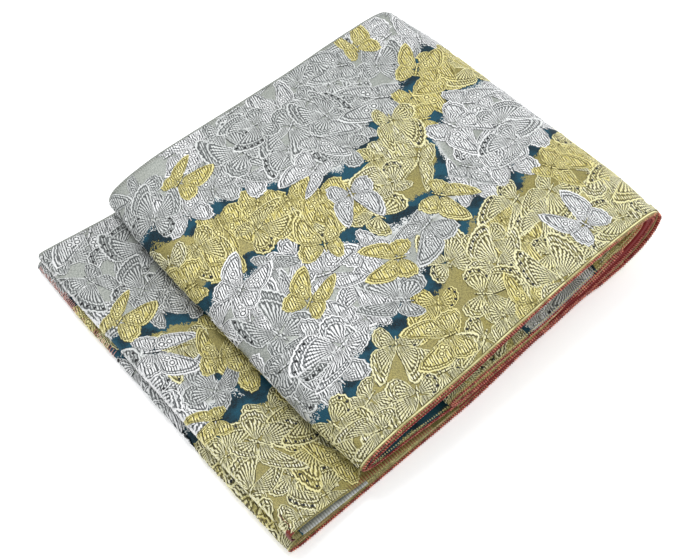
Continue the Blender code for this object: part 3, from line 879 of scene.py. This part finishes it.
# Rows out along a wing: share of the reach, depth of the outlines there (0 at the rim), tone of the
# filling and how much of the veins it shows.
DEEP = 9                 # no outline here
FAN_ROWS = ((.05, 9, .9, 0), (.13, 9, .6, 1), (.24, 9, .6, 1), (.34, 9, .6, 1), (.44, 9, .6, 1),
            (.54, 9, .6, 1), (.63, 9, .6, 1), (.69, 9, .10, .2), (.73, 9, .9, 0), (.77, 9, .12, .2),
            (.83, 9, .5, 0), (.885, 9, .5, 0), (.925, 1, .10, 0), (.96, 0, 1, 0), (.99, 0, 1, 0))
PETAL_ROWS = ((.08, 9, .8, .5), (.20, 9, .5, 1), (.32, 9, .5, 1), (.43, 9, .5, .9), (.51, 9, .55, 0),
              (.62, 9, .55, 0), (.72, 9, .55, 0), (.79, 9, .55, 0), (.835, 3, .1, 0), (.88, 2, 1, 0),
              (.925, 1, .1, 0), (.955, 0, 1, 0), (.985, 0, 1, 0))
PETAL_COLUMNS = (-1, -.92, -.84, -.77, -.66, -.50, -.33, -.16, 0, .16, .33, .50, .66, .77, .84, .92, 1)
# Tones of the outlines from the rim in. The dark ones, like the dark valleys between the veins, stand partly
# for the cloth's dark outline threads and partly for painted shade beside the raised lines.
OUTLINE_TONES = (0.90, 0.10, 0.85, 0.14)

# Feelers and body, with a tone and a height for each of their columns.
FEELER_WIDTH = 1.3
FEELER_TONES, FEELER_HEIGHTS = (0.0, 0.0, 1.0, 0.9), (-.1, .22, .4, -.1)
BODY_LENGTH, BODY_TAIL, BODY_WIDTH = 13.5, 7.5, 2.5
BODY_TONES, BODY_RINGS = (0.0, 0.9, 1.0, 0.9, 0.0), 0.35
BODY_HEIGHTS = (-.05, .55, .72, .55, -.05)


def wings_of(b):
    return [Wing(side, squash, *wing) for side, squash in zip((1, -1), b.squash) for wing in WINGS[b.style]]


def reach_of(wing, t):
    return read_table(wing.reach, t) * wing.length


def wing_place(wing, t, r):
    """Places ahead of a butterfly's middle and to its left, from a share of a wing's spread and a
    distance from its root."""
    angle = math.radians(wing.axis) - t * math.radians(wing.half)
    return wing.root + r * np.cos(angle), (ROOT_SIDE + r * np.sin(angle)) * wing.side * wing.squash


def to_cloth(b, p, q):
    """Cloth places of points given ahead of a butterfly's middle (p) and to its left (q)."""
    c, s = math.cos(b.heading), math.sin(b.heading)
    return b.u + b.size * (p * c - q * s), b.v + b.size * (p * s + q * c)


def inside_wing(b, wing, u, v, grow=0.0):
    c, s = math.cos(b.heading), math.sin(b.heading)
    du, dv = (u - b.u) / b.size, (v - b.v) / b.size
    p = du * c + dv * s - wing.root
    q = (dv * c - du * s) * wing.side / wing.squash - ROOT_SIDE
    t = (math.radians(wing.axis) - np.arctan2(q, p)) / math.radians(wing.half)
    return (np.abs(t) < 1.0) & (np.hypot(p, q) < reach_of(wing, t) + grow)


# The parts of a butterfly are tables of p, q, height and tone, with their faces.

def wing_mesh(b, wing):
    """Columns run from the wing's rear edge to its front one, rows from the root to the rim. The last
    row and both outer columns are its skirt; its tone is 0, a dark line that is painted shadow on
    the ground round the raised wing."""
    fan = b.style == "fan"
    rho, depth, fill, veined = np.array(FAN_ROWS if fan else PETAL_ROWS).T[..., None]
    t = np.linspace(-1.0, 1.0, 17 if wing.fore else 13) if fan else np.array(PETAL_COLUMNS)
    column = np.arange(len(t))
    crest = column % 2 == 0
    edge = np.minimum(column, column[::-1])
    depth = np.minimum(depth, DEEP * edge if fan else edge).astype(int)
    outlines = np.array(OUTLINE_TONES)[np.minimum(depth, 3)]
    # dark tones in the valleys: partly the dark outline threads, partly painted shade between the raised
    # lines
    tone = np.where(depth < len(OUTLINE_TONES), outlines, between(fill, np.where(crest, 1.0, 0.10), veined))
    wave = (0.018 if fan else 0.010) if wing.fore else 0.028
    reach = reach_of(wing, t) * (1.0 + wave * np.where(crest, 1.0, -1.0) * (t < 0.6))
    radius = np.append(rho, 1.0)[:, None] * reach
    radius[-1] += SKIRT / b.size
    radius = np.pad(radius, ((0, 0), (1, 1)), "edge")
    # tone 0 on the skirt: a dark line round the wing, painted shadow at its foot
    tone = np.pad(tone, ((0, 1), (1, 1)))
    high = between(*WING_HEIGHT, tone) + b.lift
    high[-1] = high[:, 0] = high[:, -1] = GROUND
    t = np.pad(t, 1, "edge") + np.zeros(radius.shape)
    turn = np.minimum(SKIRT / b.size / np.maximum(radius, 1.0), 0.25) / math.radians(wing.half)
    t[:, 0] -= turn[:, 0]
    t[:, -1] += turn[:, -1]
    quads = grid_quads(*radius.shape)
    return table_of(*wing_place(wing, t, radius), high, tone), [quads[:, ::-1] if wing.side > 0 else quads]


def disc_mesh(p, q, radii, tones, height, segments):
    """Nested rings round a point, its middle last."""
    turn = np.arange(segments) * TURN / segments
    r = np.array(radii)[:, None]
    high = np.full(r.shape, height)
    high[0] -= 0.2
    rings = table_of(p + r * np.cos(turn), q + r * np.sin(turn), high, np.array(tones[:-1])[:, None])
    a = np.arange(segments) + len(rings) - segments
    middle = np.full(segments, len(rings))
    return (np.vstack([rings, [p, q, height, tones[-1]]]),
            [grid_quads(len(radii), segments, True, True), np.stack([a, np.roll(a, -1), middle], -1)])


def spots_of(b, wing, rng):
    """Black dots along a fan wing's border, or ring spots on a petal wing."""
    made = []
    if b.style == "petal":
        for t, share in RING_SPOTS[:3 if wing.fore else 1]:
            size = (3.3 if wing.fore else 2.4) * (0.75 + 0.5 * rng.random())
            made.append((t, share, [size * k for k in RING_RADII], RING_TONES, 10))
    elif b.size * wing.squash >= DOTTED_SIZE and rng.random() <= DOTTED:
        for t in np.linspace(-0.72, 0.80, 5 if wing.fore else 4)[rng.integers(0, 2):]:
            made.append((t, 0.86, [r / b.size for r in DOT_RADII], (-1.0, -1.0, -1.0), 8))
    return [disc_mesh(*wing_place(wing, t, reach_of(wing, t) * share), radii, tones, SPOT_HEIGHT + b.lift,
                      segments) for t, share, radii, tones, segments in made]


def strip_mesh(p, q, width, tones, heights):
    """A narrow strip along points, with as many columns as tones."""
    dp, dq = np.gradient(p), np.gradient(q)
    off = np.linspace(-0.5, 0.5, len(heights)) * (width / np.hypot(dp, dq))[:, None]
    return (table_of(p[:, None] - dq[:, None] * off, q[:, None] + dp[:, None] * off, heights, tones),
            [grid_quads(*off.shape)])


def butterfly_mesh(b, rng):
    """Points and faces of one butterfly, lowest parts first. A fifth column marks its hind wings."""
    parts = []
    for wing in wings_of(b):
        own = [wing_mesh(b, wing), *spots_of(b, wing, rng)]
        parts += [(part, faces, not wing.fore) for part, faces in own]
    s = np.linspace(0.0, 1.0, 7)
    for side in (1.0, -1.0):
        feeler = strip_mesh(5.0 + 12.0 * s, side * (0.5 + 1.5 * s + 4.0 * s * s), FEELER_WIDTH / b.size,
                            FEELER_TONES, np.add(FEELER_HEIGHTS, b.lift))
        parts.append((*feeler, False))
    s = np.linspace(0.0, 1.0, 9)
    tones = np.tile(BODY_TONES, (len(s), 1))
    tones[1:6:2, 1:4] = BODY_RINGS
    width = BODY_WIDTH * np.sin(np.clip(s, 0.06, 0.97) * math.pi) ** 0.45
    body = strip_mesh(BODY_LENGTH * s - BODY_TAIL, 0.0 * s, width, tones, np.add(BODY_HEIGHTS, b.lift))
    parts.append((*body, False))
    return joined([(np.insert(part, 4, hind, axis=1), faces) for part, faces, hind in parts])


# Fields of butterflies. In its own areas a field has leads, which lie on top of the others, and clear
# places, which the others leave bare.

Field = namedtuple("Field", "name first last front back seams spacing seed leads clear", defaults=((), ()))
TOP_FIELD = Field("top", -172.0, 262.0, -151.6, RELIEF_EDGE, TOP_SEAMS, 22.0, 11, (
    # u, v, heading, size, metal (1 is gold), style
    (-72, 119, 20, 0.80, 1, "petal"),
    (14, 56, 200, 0.85, 0, "petal"),
    (127, 134, 80, 0.85, 1, "petal"),
    (145, 79, 40, 0.90, 1, "petal"),
    (124, -128, 100, 0.95, 0, "petal"),
    (-99, 9, 30, 0.85, 0, "petal"),
    (17, 18, 250, 0.85, 0, "petal"),
    (-29, -5, 60, 0.90, 1, "petal"),
    (-70, -35, 30, 0.80, 1, "petal"),
    (2, -52, 150, 0.80, 1, "petal"),
    (65, -31, 300, 0.85, 1, "petal"),
), (
    (24, -123), (28, -117), (-2, -144), (4, -140), (-63, -146), (-62, -125), (-58, -120),
    (81, -136), (105, -103), (116, -66), (119, -72), (155, -94), (158, -90), (172, 57),
    (113, 91), (118, 96), (164, 128), (16, -94), (46, 146), (42, 141), (31, 102),
    (5, 126), (10, 130), (-51, 102), (-24, 90), (-19, 121), (-96, 146), (-90, 142),
))
LOWER_FIELD = Field("lower", -214.0, -104.0, -154.2, RELIEF_EDGE, LOWER_SEAMS, 22.0, 23, (
    (-152, 14, 250, 0.90, 1, "fan"),
    (-158, -34, 40, 0.95, 0, "fan"),
    (-172, 22, 330, 1.00, 0, "petal"),
    (-138, -14, 60, 0.90, 1, "petal"),
    (-176, 60, 25, 0.85, 1, "petal"),
    (-172, -54, 160, 0.62, 1, "petal"),
), ((-153, 102), (-149, 107), (-174, -104), (-170, -108), (-175, -144), (-140, 80)))
FOLD_FIELD = Field("lowest", -216.0, -176.0, -RELIEF_EDGE, RELIEF_EDGE, FOLD_SEAMS, 21.0, 31)
UNDER_FIELD = Field("under", -532.0, -216.5, -RELIEF_EDGE, RELIEF_EDGE, FOLD_SEAMS, 27.0, 41)
TUCKED_FIELD = Field("tucked", -92.0, 150.0, -RELIEF_EDGE, -84.0, TUCKED_SEAMS, 21.0, 37)
TRIES, TRIALS = 9000, 14     # places tried in a field, and butterflies tried at each
SEAM_CLEAR = 8.0         # no butterfly has its middle nearer to a seam
TEAL_CLEAR, TEAL_COST = 4.5, 0.55    # an outline point this near to a seam counts for this much
CLEAR_MARGIN = 3.0       # a butterfly this near to a clear place covers it
PETALS = (0.42, 0.14)    # share of petal wings, and that in the gold at the front
DULLER = (0.25, -0.1)    # how much duller the threads are above the first seam and below it
SIZES = (0.82, 0.3)      # smallest butterfly, and how much larger the largest is
NARROWED = (0.55, 0.4)   # the same for the breadth of the wings on its narrower side
LIFTS = (0.05, 0.35)     # heights of the lowest and of the uppermost butterfly
CELL = (120.0, 155.0)    # size of the pieces that a field is parted into


def is_gold(u, v, seams):
    first, second, third = (read_table(seam, u) for seam in seams)
    return ((v < first) & (v > second)) | (v < third)


def seam_gap(u, v, seams):
    """Distance to the nearest seam, across the cloth."""
    return np.min([np.abs(v - read_table(seam, u)) for seam in seams], axis=0)


def crossing(b, seams, clear):
    """Share of a butterfly's outline on cloth of the other metal or over the seams' teal, and the number
    of clear places it covers."""
    t = np.linspace(-0.95, 0.95, 7)
    u, v = np.concatenate([to_cloth(b, *wing_place(wing, t, reach_of(wing, t) * share))
                           for wing in wings_of(b) for share in (0.6, 1.0)], -1)
    wrong = is_gold(u, v, seams) != (b.metal > 0.5)
    covered = sum(inside_wing(b, wing, *clear, CLEAR_MARGIN / b.size).sum() for wing in wings_of(b))
    return wrong.mean() + TEAL_COST * (seam_gap(u, v, seams) < TEAL_CLEAR).mean() + covered


def new_butterfly(u, v, metal, rng, size=None, heading=None, style=None, petals=PETALS[0], duller=0.0):
    style = style or ("petal" if rng.random() < petals else "fan")
    squash = (1.0, NARROWED[0] + NARROWED[1] * rng.random())
    if rng.random() < 0.5:
        squash = squash[::-1]
    warmth = (0.66 if style == "petal" else 0.8 * petals) - duller + 0.22 * rng.standard_normal()
    heading = rng.random() * TURN if heading is None else math.radians(heading)
    return Butterfly(u, v, heading, size or SIZES[0] + SIZES[1] * rng.random(), style, metal,
                     np.clip(warmth, 0.0, 1.0), 0.0, squash)


def scatter(field):
    """The butterflies of a field, lowest first."""
    rng = np.random.default_rng(field.seed)
    leads = [new_butterfly(u, v, metal, rng, size, heading, style)
             for u, v, heading, size, metal, style in field.leads]
    taken = [(b.u, b.v) for b in leads]
    clear = np.array(field.clear, float).reshape(-1, 2).T
    made = []
    for _ in range(TRIES):
        u = rng.uniform(field.first, field.last)
        v = rng.uniform(field.front, field.back)
        near = min((math.hypot(u - a, v - b) for a, b in taken), default=math.inf)
        if near < field.spacing or seam_gap(u, v, field.seams) < SEAM_CLEAR:
            continue
        metal = float(is_gold(u, v, field.seams))
        upper, _, front = (read_table(seam, u) for seam in field.seams)
        petals = PETALS[1] if metal > 0.5 and v < front else PETALS[0]
        duller = DULLER[0] if v > upper else DULLER[1]
        trials = [new_butterfly(u, v, metal, rng, petals=petals, duller=duller) for _ in range(TRIALS)]
        best = min(trials, key=lambda b: crossing(b, field.seams, clear))
        if crossing(best, field.seams, clear) < 1.0:
            taken.append((u, v))
            made.append(best)
    rng.shuffle(made)
    flock = made + leads
    return [b._replace(lift=between(*LIFTS, k / len(flock))) for k, b in enumerate(flock)]


def relief(field, sheet, material, slot):
    """The raised pattern of a field, as a few pieces that follow the sheet."""
    rng = np.random.default_rng(field.seed + 1)
    flock = scatter(field)
    groups = {}
    for k, b in enumerate(flock):
        table, faces = butterfly_mesh(b, rng)
        p, q, high, tone, hind = table.T
        u, v = to_cloth(b, p, q)
        fore = np.any([inside_wing(b, wing, u, v) for wing in wings_of(b) if wing.fore], 0)
        covered = fore & (hind > 0.5)
        for over in flock[k + 1:]:
            if abs(over.u - b.u) + abs(over.v - b.v) > NEAR:
                continue
            covered |= np.hypot(u - over.u, v - over.v) < MIDDLE * over.size
            for wing in wings_of(over):
                covered |= inside_wing(over, wing, u, v)
        gone = covered | (v < field.front) | (v > field.back) | (u < field.first) | (u > field.last)
        table = table_of(np.clip(u, field.first, field.last), np.clip(v, field.front, field.back),
                         np.where(covered, SUNK, high), tone, b.metal, b.warmth)
        key = (int((b.u - field.first) // CELL[0]), int((b.v + HALF) // CELL[1]))
        groups.setdefault(key, []).append((table, [group[~gone[group].all(1)] for group in faces]))
    pieces = []
    for key, parts in sorted(groups.items()):
        table, faces = joined(parts)
        used = np.unique(np.concatenate([group.ravel() for group in faces]))
        number = np.zeros(len(table), int)
        number[used] = np.arange(len(used))
        table = table[used]
        u, v, high, tone, metal, warmth = table.T
        points = sheet.place(u, v, high + squeeze(v) * sheet.half_wall(u))
        pieces.append(make_mesh(f"{field.name}_pattern_{key[0]}{key[1]}", np.hstack([points, table[:, :2]]),
                                [number[group] for group in faces], material, slot, baked(table[:, :2]),
                                tone=tone, metal=metal, warmth=warmth))
    return pieces


# Sewing

STITCH_PITCH = 2.0
STITCH_BITE = 2.2        # how far in from the selvedge a stitch of size 1 goes
SLANT = 1.6              # how far along the selvedge it goes, both ways together
YARN = 0.29              # radius of the overcasting thread
YARN_FLAT = 1.25         # it is wider than high by this factor
LOOP = (
    # in from the edge in bites, height in half walls and in millimetres, slant, girth
    (1.0, 1.0, -0.10, -0.45, 0.6),
    (0.62, 1.0, 0.16, -0.25, 0.8),
    (0.05, 0.75, 0.10, -0.05, 1.2),
    (-0.20, 0.0, 0.0, 0.0, 1.45),
    (0.05, -0.75, -0.10, 0.10, 1.2),
    (0.62, -1.0, -0.16, 0.30, 0.8),
    (1.0, -1.0, 0.10, 0.5, 0.6),
)
RUN_END = 0.3            # a run of stitches stops this far from the end of its stretch


def yarns(path, wide, high, radius, u, v, sides, flip):
    """Points and faces of rings of thread round the points of several paths."""
    turn = np.arange(sides) * TURN / sides
    ring = wide[:, :, None, :] * np.cos(turn)[:, None] + high[:, :, None, :] * np.sin(turn)[:, None]
    points = (path[:, :, None, :] + ring * radius).reshape(-1, 3)
    starts = np.arange(len(path))[:, None, None] * path.shape[1] * sides
    quads = (grid_quads(path.shape[1], sides, True, flip) + starts).reshape(-1, 4)
    return np.hstack([points, np.repeat(table_of(u, v), sides, 0)]), [quads]


def overcast(sheet, start, end, size, rng):
    """Stitches round the front selvedge, from u start to u end."""
    count = int((end - start) / STITCH_PITCH)
    u = start + (np.arange(count) + 0.5) * STITCH_PITCH + rng.uniform(-0.14, 0.14, count)
    inward, half_walls, lift, slant, girth = np.array(LOOP).T
    bite = STITCH_BITE * size * rng.uniform(0.82, 1.12, count)
    v = inward * bite[:, None] - HALF
    high = half_walls * squeeze(v) * sheet.half_wall(u)[:, None] + lift
    u = u[:, None] + slant * SLANT
    path = sheet.place(u, v, high)
    ahead = unit(sheet.place(u + 0.5, v, high) - sheet.place(u - 0.5, v, high))
    thread = unit(np.gradient(path, axis=1))
    off = unit(np.cross(thread, ahead))
    radius = YARN * min(1.0, size + 0.2) * girth[:, None, None]
    return yarns(path, np.cross(off, thread) * YARN_FLAT, off, radius, u, v, 4, True)


def stitches(name, runs, material, rng):
    """Overcasting of several runs of selvedge, as one piece; a run is a sheet, a start, an end and how
    large its stitches are."""
    table, faces = joined([overcast(*run, rng) for run in runs])
    return make_mesh(name, table, faces, material, "selvedge_thread")


def runs_along(sheet, marks, sizes):
    return [(sheet, *run) for run in zip(marks, marks[1:], sizes)]


def whole_run(sheet, size):
    return runs_along(sheet, (sheet.start + RUN_END, sheet.end - RUN_END), (size,))


def laid_stitches(name, sheet, starts, ends, material, rng, girth=0.34, lift=0.0):
    """Short straight stitches on the face of the cloth, from one (u, v) to another."""
    u, v = (between(starts[:, [k]], ends[:, [k]], np.linspace(0.0, 1.0, 5)) for k in (0, 1))
    high = WALL / 2 + np.array([-0.15, 0.3 + lift, 0.45 + lift, 0.3 + lift, -0.15])
    path = sheet.place(u, v, high)
    up = unit(sheet.place(u, v, WALL) - sheet.place(u, v, 0.0))
    side = np.cross(unit(np.gradient(path, axis=1)), up)
    radius = girth * rng.uniform(0.85, 1.1, (len(u), 1, 1, 1))
    table, faces = yarns(path, side, up, radius, u, v, 5, False)
    return make_mesh(name, table, faces, material, "selvedge_thread")


def near_line(u, spread, v, rng):
    """Places at these v, near the line at u."""
    return np.stack([u + rng.uniform(-spread, spread, len(v)), v], -1)


# Places of the straight stitches: v from, v to and pitch of each row, and u of the two ends of a stitch.
FOLD_ROWS = ((46.0, 96.0, 2.6), (98.0, 150.0, 1.6))
FOLD_START, FOLD_END = -193.5, -187.4
TACK, TACK_START, TACK_END = (-155.2, -150.6, 0.5), -191.6, -185.0
CORNER_ROW, ROW_START, ROW_END = (-150.4, -139.0, 2.0), -184.8, -184.4
TACK_GIRTH, TACK_LIFT = 0.46, 0.45


def fold_stitches(sheet, rng):
    """Pale red sewing along the back part of the lowest fold."""
    v = np.concatenate([np.arange(*row) for row in FOLD_ROWS])
    v = v + rng.uniform(-0.3, 0.3, len(v))
    starts = near_line(FOLD_START, 0.4, v, rng)
    ends = near_line(FOLD_END, 0.6, v + 0.9, rng)
    material = yarn_material("pale_red_yarn", *PALE_RED, 0.6)
    return laid_stitches("fold_stitching", sheet, starts, ends, material, rng)


def corner_stitches(sheet, rng):
    """A short red bar tack at the front end of the lower fold, and the row of sewing that it ends."""
    tack, row = np.arange(*TACK), np.arange(*CORNER_ROW)
    starts = [near_line(TACK_START, 0.4, tack, rng), near_line(ROW_START, 0.2, row, rng)]
    ends = [near_line(TACK_END, 0.4, tack + 0.3, rng), near_line(ROW_END, 0.2, row + 1.5, rng)]
    material = yarn_material("dark_red_yarn", *DARK_RED, 0.5)
    return laid_stitches("corner_tack", sheet, np.concatenate(starts), np.concatenate(ends), material, rng,
                         TACK_GIRTH, TACK_LIFT)


# Camera, light and floor

LENS, SENSOR = 55.0, 36.0
CAMERA_PLACE = (-0.33852, -0.37590, 0.67555)     # metres, past the sash's front left corner
CAMERA_DOWN, CAMERA_HEADING = 54.3706, 42.028
SKY, SKY_STRENGTH = (0.98, 0.99, 1.0, 1.0), 0.66
LAMPS = (
    # place and size in metres, watts
    ("key", (-0.05, 0.50, 1.18), 0.55, 6.2),
    ("side", (1.0, -0.3, 0.7), 0.7, 4.0),
)
FLOOR_RADIUS, FLOOR_TOP = 4.0, -0.0011


def add_camera():
    data = bpy.data.cameras.new("camera")
    data.lens, data.sensor_width = LENS, SENSOR
    data.clip_start, data.clip_end = 0.01, 20.0
    camera = bpy.data.objects.new("camera", data)
    camera.location = CAMERA_PLACE
    camera.rotation_euler = (math.radians(90.0 - CAMERA_DOWN), 0.0, math.radians(-CAMERA_HEADING))
    bpy.context.scene.collection.objects.link(camera)
    bpy.context.scene.camera = camera


def add_area(name, place, size, watts):
    data = bpy.data.lights.new(name, "AREA")
    data.shape, data.size, data.energy = "DISK", size, watts
    lamp = bpy.data.objects.new(name, data)
    lamp.location = place
    lamp.rotation_euler = (-Vector(place)).to_track_quat("-Z", "Y").to_euler()
    bpy.context.scene.collection.objects.link(lamp)


def add_surroundings():
    world = bpy.data.worlds.new("world")
    world.use_nodes = True
    world.node_tree.nodes["Background"].inputs["Color"].default_value = SKY
    world.node_tree.nodes["Background"].inputs["Strength"].default_value = SKY_STRENGTH
    bpy.context.scene.world = world
    bpy.context.scene.view_settings.view_transform = "Standard"
    for lamp in LAMPS:
        add_area(*lamp)
    bpy.ops.mesh.primitive_circle_add(vertices=96, radius=FLOOR_RADIUS, fill_type="NGON",
                                      location=(0.0, 0.0, FLOOR_TOP))
    floor = bpy.context.object
    floor.name = "floor"
    floor.data.materials.append(floor_material())


# The sash

SEED = 5
# u of the creases along which the threads get a painted highlight
TOP_CREASE, LOWER_CREASE = -130.4, -188.0
# share by which the threads of the lower pieces are darkened, as painted shade
LOW_PAINTED_SHADE = 0.05
THIN_RIM = ((0, 0.9), (1, 0.9))
TOP_RIM = ((30, 0.6), (60, 0.8), (128, 0.8), (136, -1.0), (184, -1.0), (192, 2.4))
FOLD_RIM = ((-420, 1.8), (-330, 0.9), (-192, 0.9), (-188, 0))
BUNDLE_RIM = ((-240, 3.0), (-239, -1.0))
SHELLS = (
    # sheet, slot, steps of its shell along and across
    ("top", "brocade_mixed", 3.0, 3.5),
    ("lowest", "brocade_gold", 4.0, 5.0),
    ("inner", "brocade_silver", 5.0, 7.0),
    ("lower", "brocade_silver", 3.0, 4.0),
    ("tucked", "brocade_gold", 4.0, 5.0),
)


def add_grounds():
    return {
        "top": ground_material("brocade_ground", TOP_SEAMS, TOP_RIM),
        "lower": ground_material("brocade_lower_ground", LOWER_SEAMS, red_from=-132.0),
        "lowest": ground_material("brocade_lowest_ground", FOLD_SEAMS, FOLD_RIM),
        "inner": ground_material("brocade_hidden_ground", HIDDEN_SEAMS, THIN_RIM, True),
        "tucked": ground_material("brocade_tucked_ground", TUCKED_SEAMS, THIN_RIM, True),
        "layers": ground_material("brocade_layer_ground", LAYER_SEAMS, glint=True),
        "bundle": ground_material("brocade_bundle_ground", LAYER_SEAMS, BUNDLE_RIM, True, RED_RIBS),
    }


def add_patterns(sheets):
    thread = thread_material("brocade_thread", crease=TOP_CREASE)
    # darker copies of the thread, with painted shade, for the pieces that lie low
    lower_thread = thread_material("brocade_lower_thread", LOW_PAINTED_SHADE, LOWER_CREASE)
    low_thread = thread_material("brocade_low_thread", LOW_PAINTED_SHADE)
    return {
        "top": relief(TOP_FIELD, sheets["top"], thread, "brocade_mixed"),
        "lower": relief(LOWER_FIELD, sheets["lower"], lower_thread, "brocade_silver"),
        "lowest": relief(FOLD_FIELD, sheets["lowest"], low_thread, "brocade_gold") +
                  relief(UNDER_FIELD, sheets["lowest"], low_thread, "brocade_gold"),
        "tucked": relief(TUCKED_FIELD, sheets["tucked"], low_thread, "brocade_gold"),
    }


def add_sewing(sheets, bends, tongue):
    top, lowest, inner, tucked = (sheets[key] for key in ("top", "lowest", "inner", "tucked"))
    sewn = {
        "top": runs_along(top, (top.start + RUN_END, 50.0, 134.0, 188.0, 196.0, top.end),
                          (0.75, 0.95, 0.55, 1.25, 1.5)),
        "lowest": runs_along(lowest, (lowest.start, -380.0, -320.0, -189.0), (1.5, 1.3, 0.9)),
        "inner": runs_along(inner, (inner.start + RUN_END, 100.0, 330.0), (0.35, 0.8)),
        "tucked": whole_run(tucked, 0.9),
        "right_layers": whole_run(bends[0], 0.5) + whole_run(bends[-1], 0.6),
        "tucked_layers": whole_run(tongue[-1], 0.4),
    }
    red = yarn_material("red_yarn", *RED_YARN, 0.45)
    rng = np.random.default_rng(SEED)
    threads = {key: [stitches(key + "_overcasting", runs, red, rng)] for key, runs in sewn.items()}
    threads["lowest"].append(fold_stitches(lowest, rng))
    threads["lower"] = [corner_stitches(sheets["lower"], rng)]
    return threads


def main():
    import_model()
    add_camera()
    add_surroundings()
    sheets = stretches()
    grounds = add_grounds()
    shells = {key: shell(key + "_cloth", sheets[key], key + "_stretch", grounds[key], slot, step_u, step_v)
              for key, slot, step_u, step_v in SHELLS}
    patterns = add_patterns(sheets)
    bends, tongue = right_sheets(), tucked_sheets()
    threads = add_sewing(sheets, bends, tongue)
    for key, sheet in sheets.items():
        threads.get(key, []) + patterns.get(key, [])
    hidden = (
        ("right_layers", bends, "bundle"),
        ("tucked_layers", tongue, "layers"),
        ("left_layers", left_sheets(), "layers"),
        ("lower_layers", lower_sheets(), "layers"),
    )
    for name, layers, ground in hidden:
        item, flat = stack(name, layers, grounds[ground])


main()
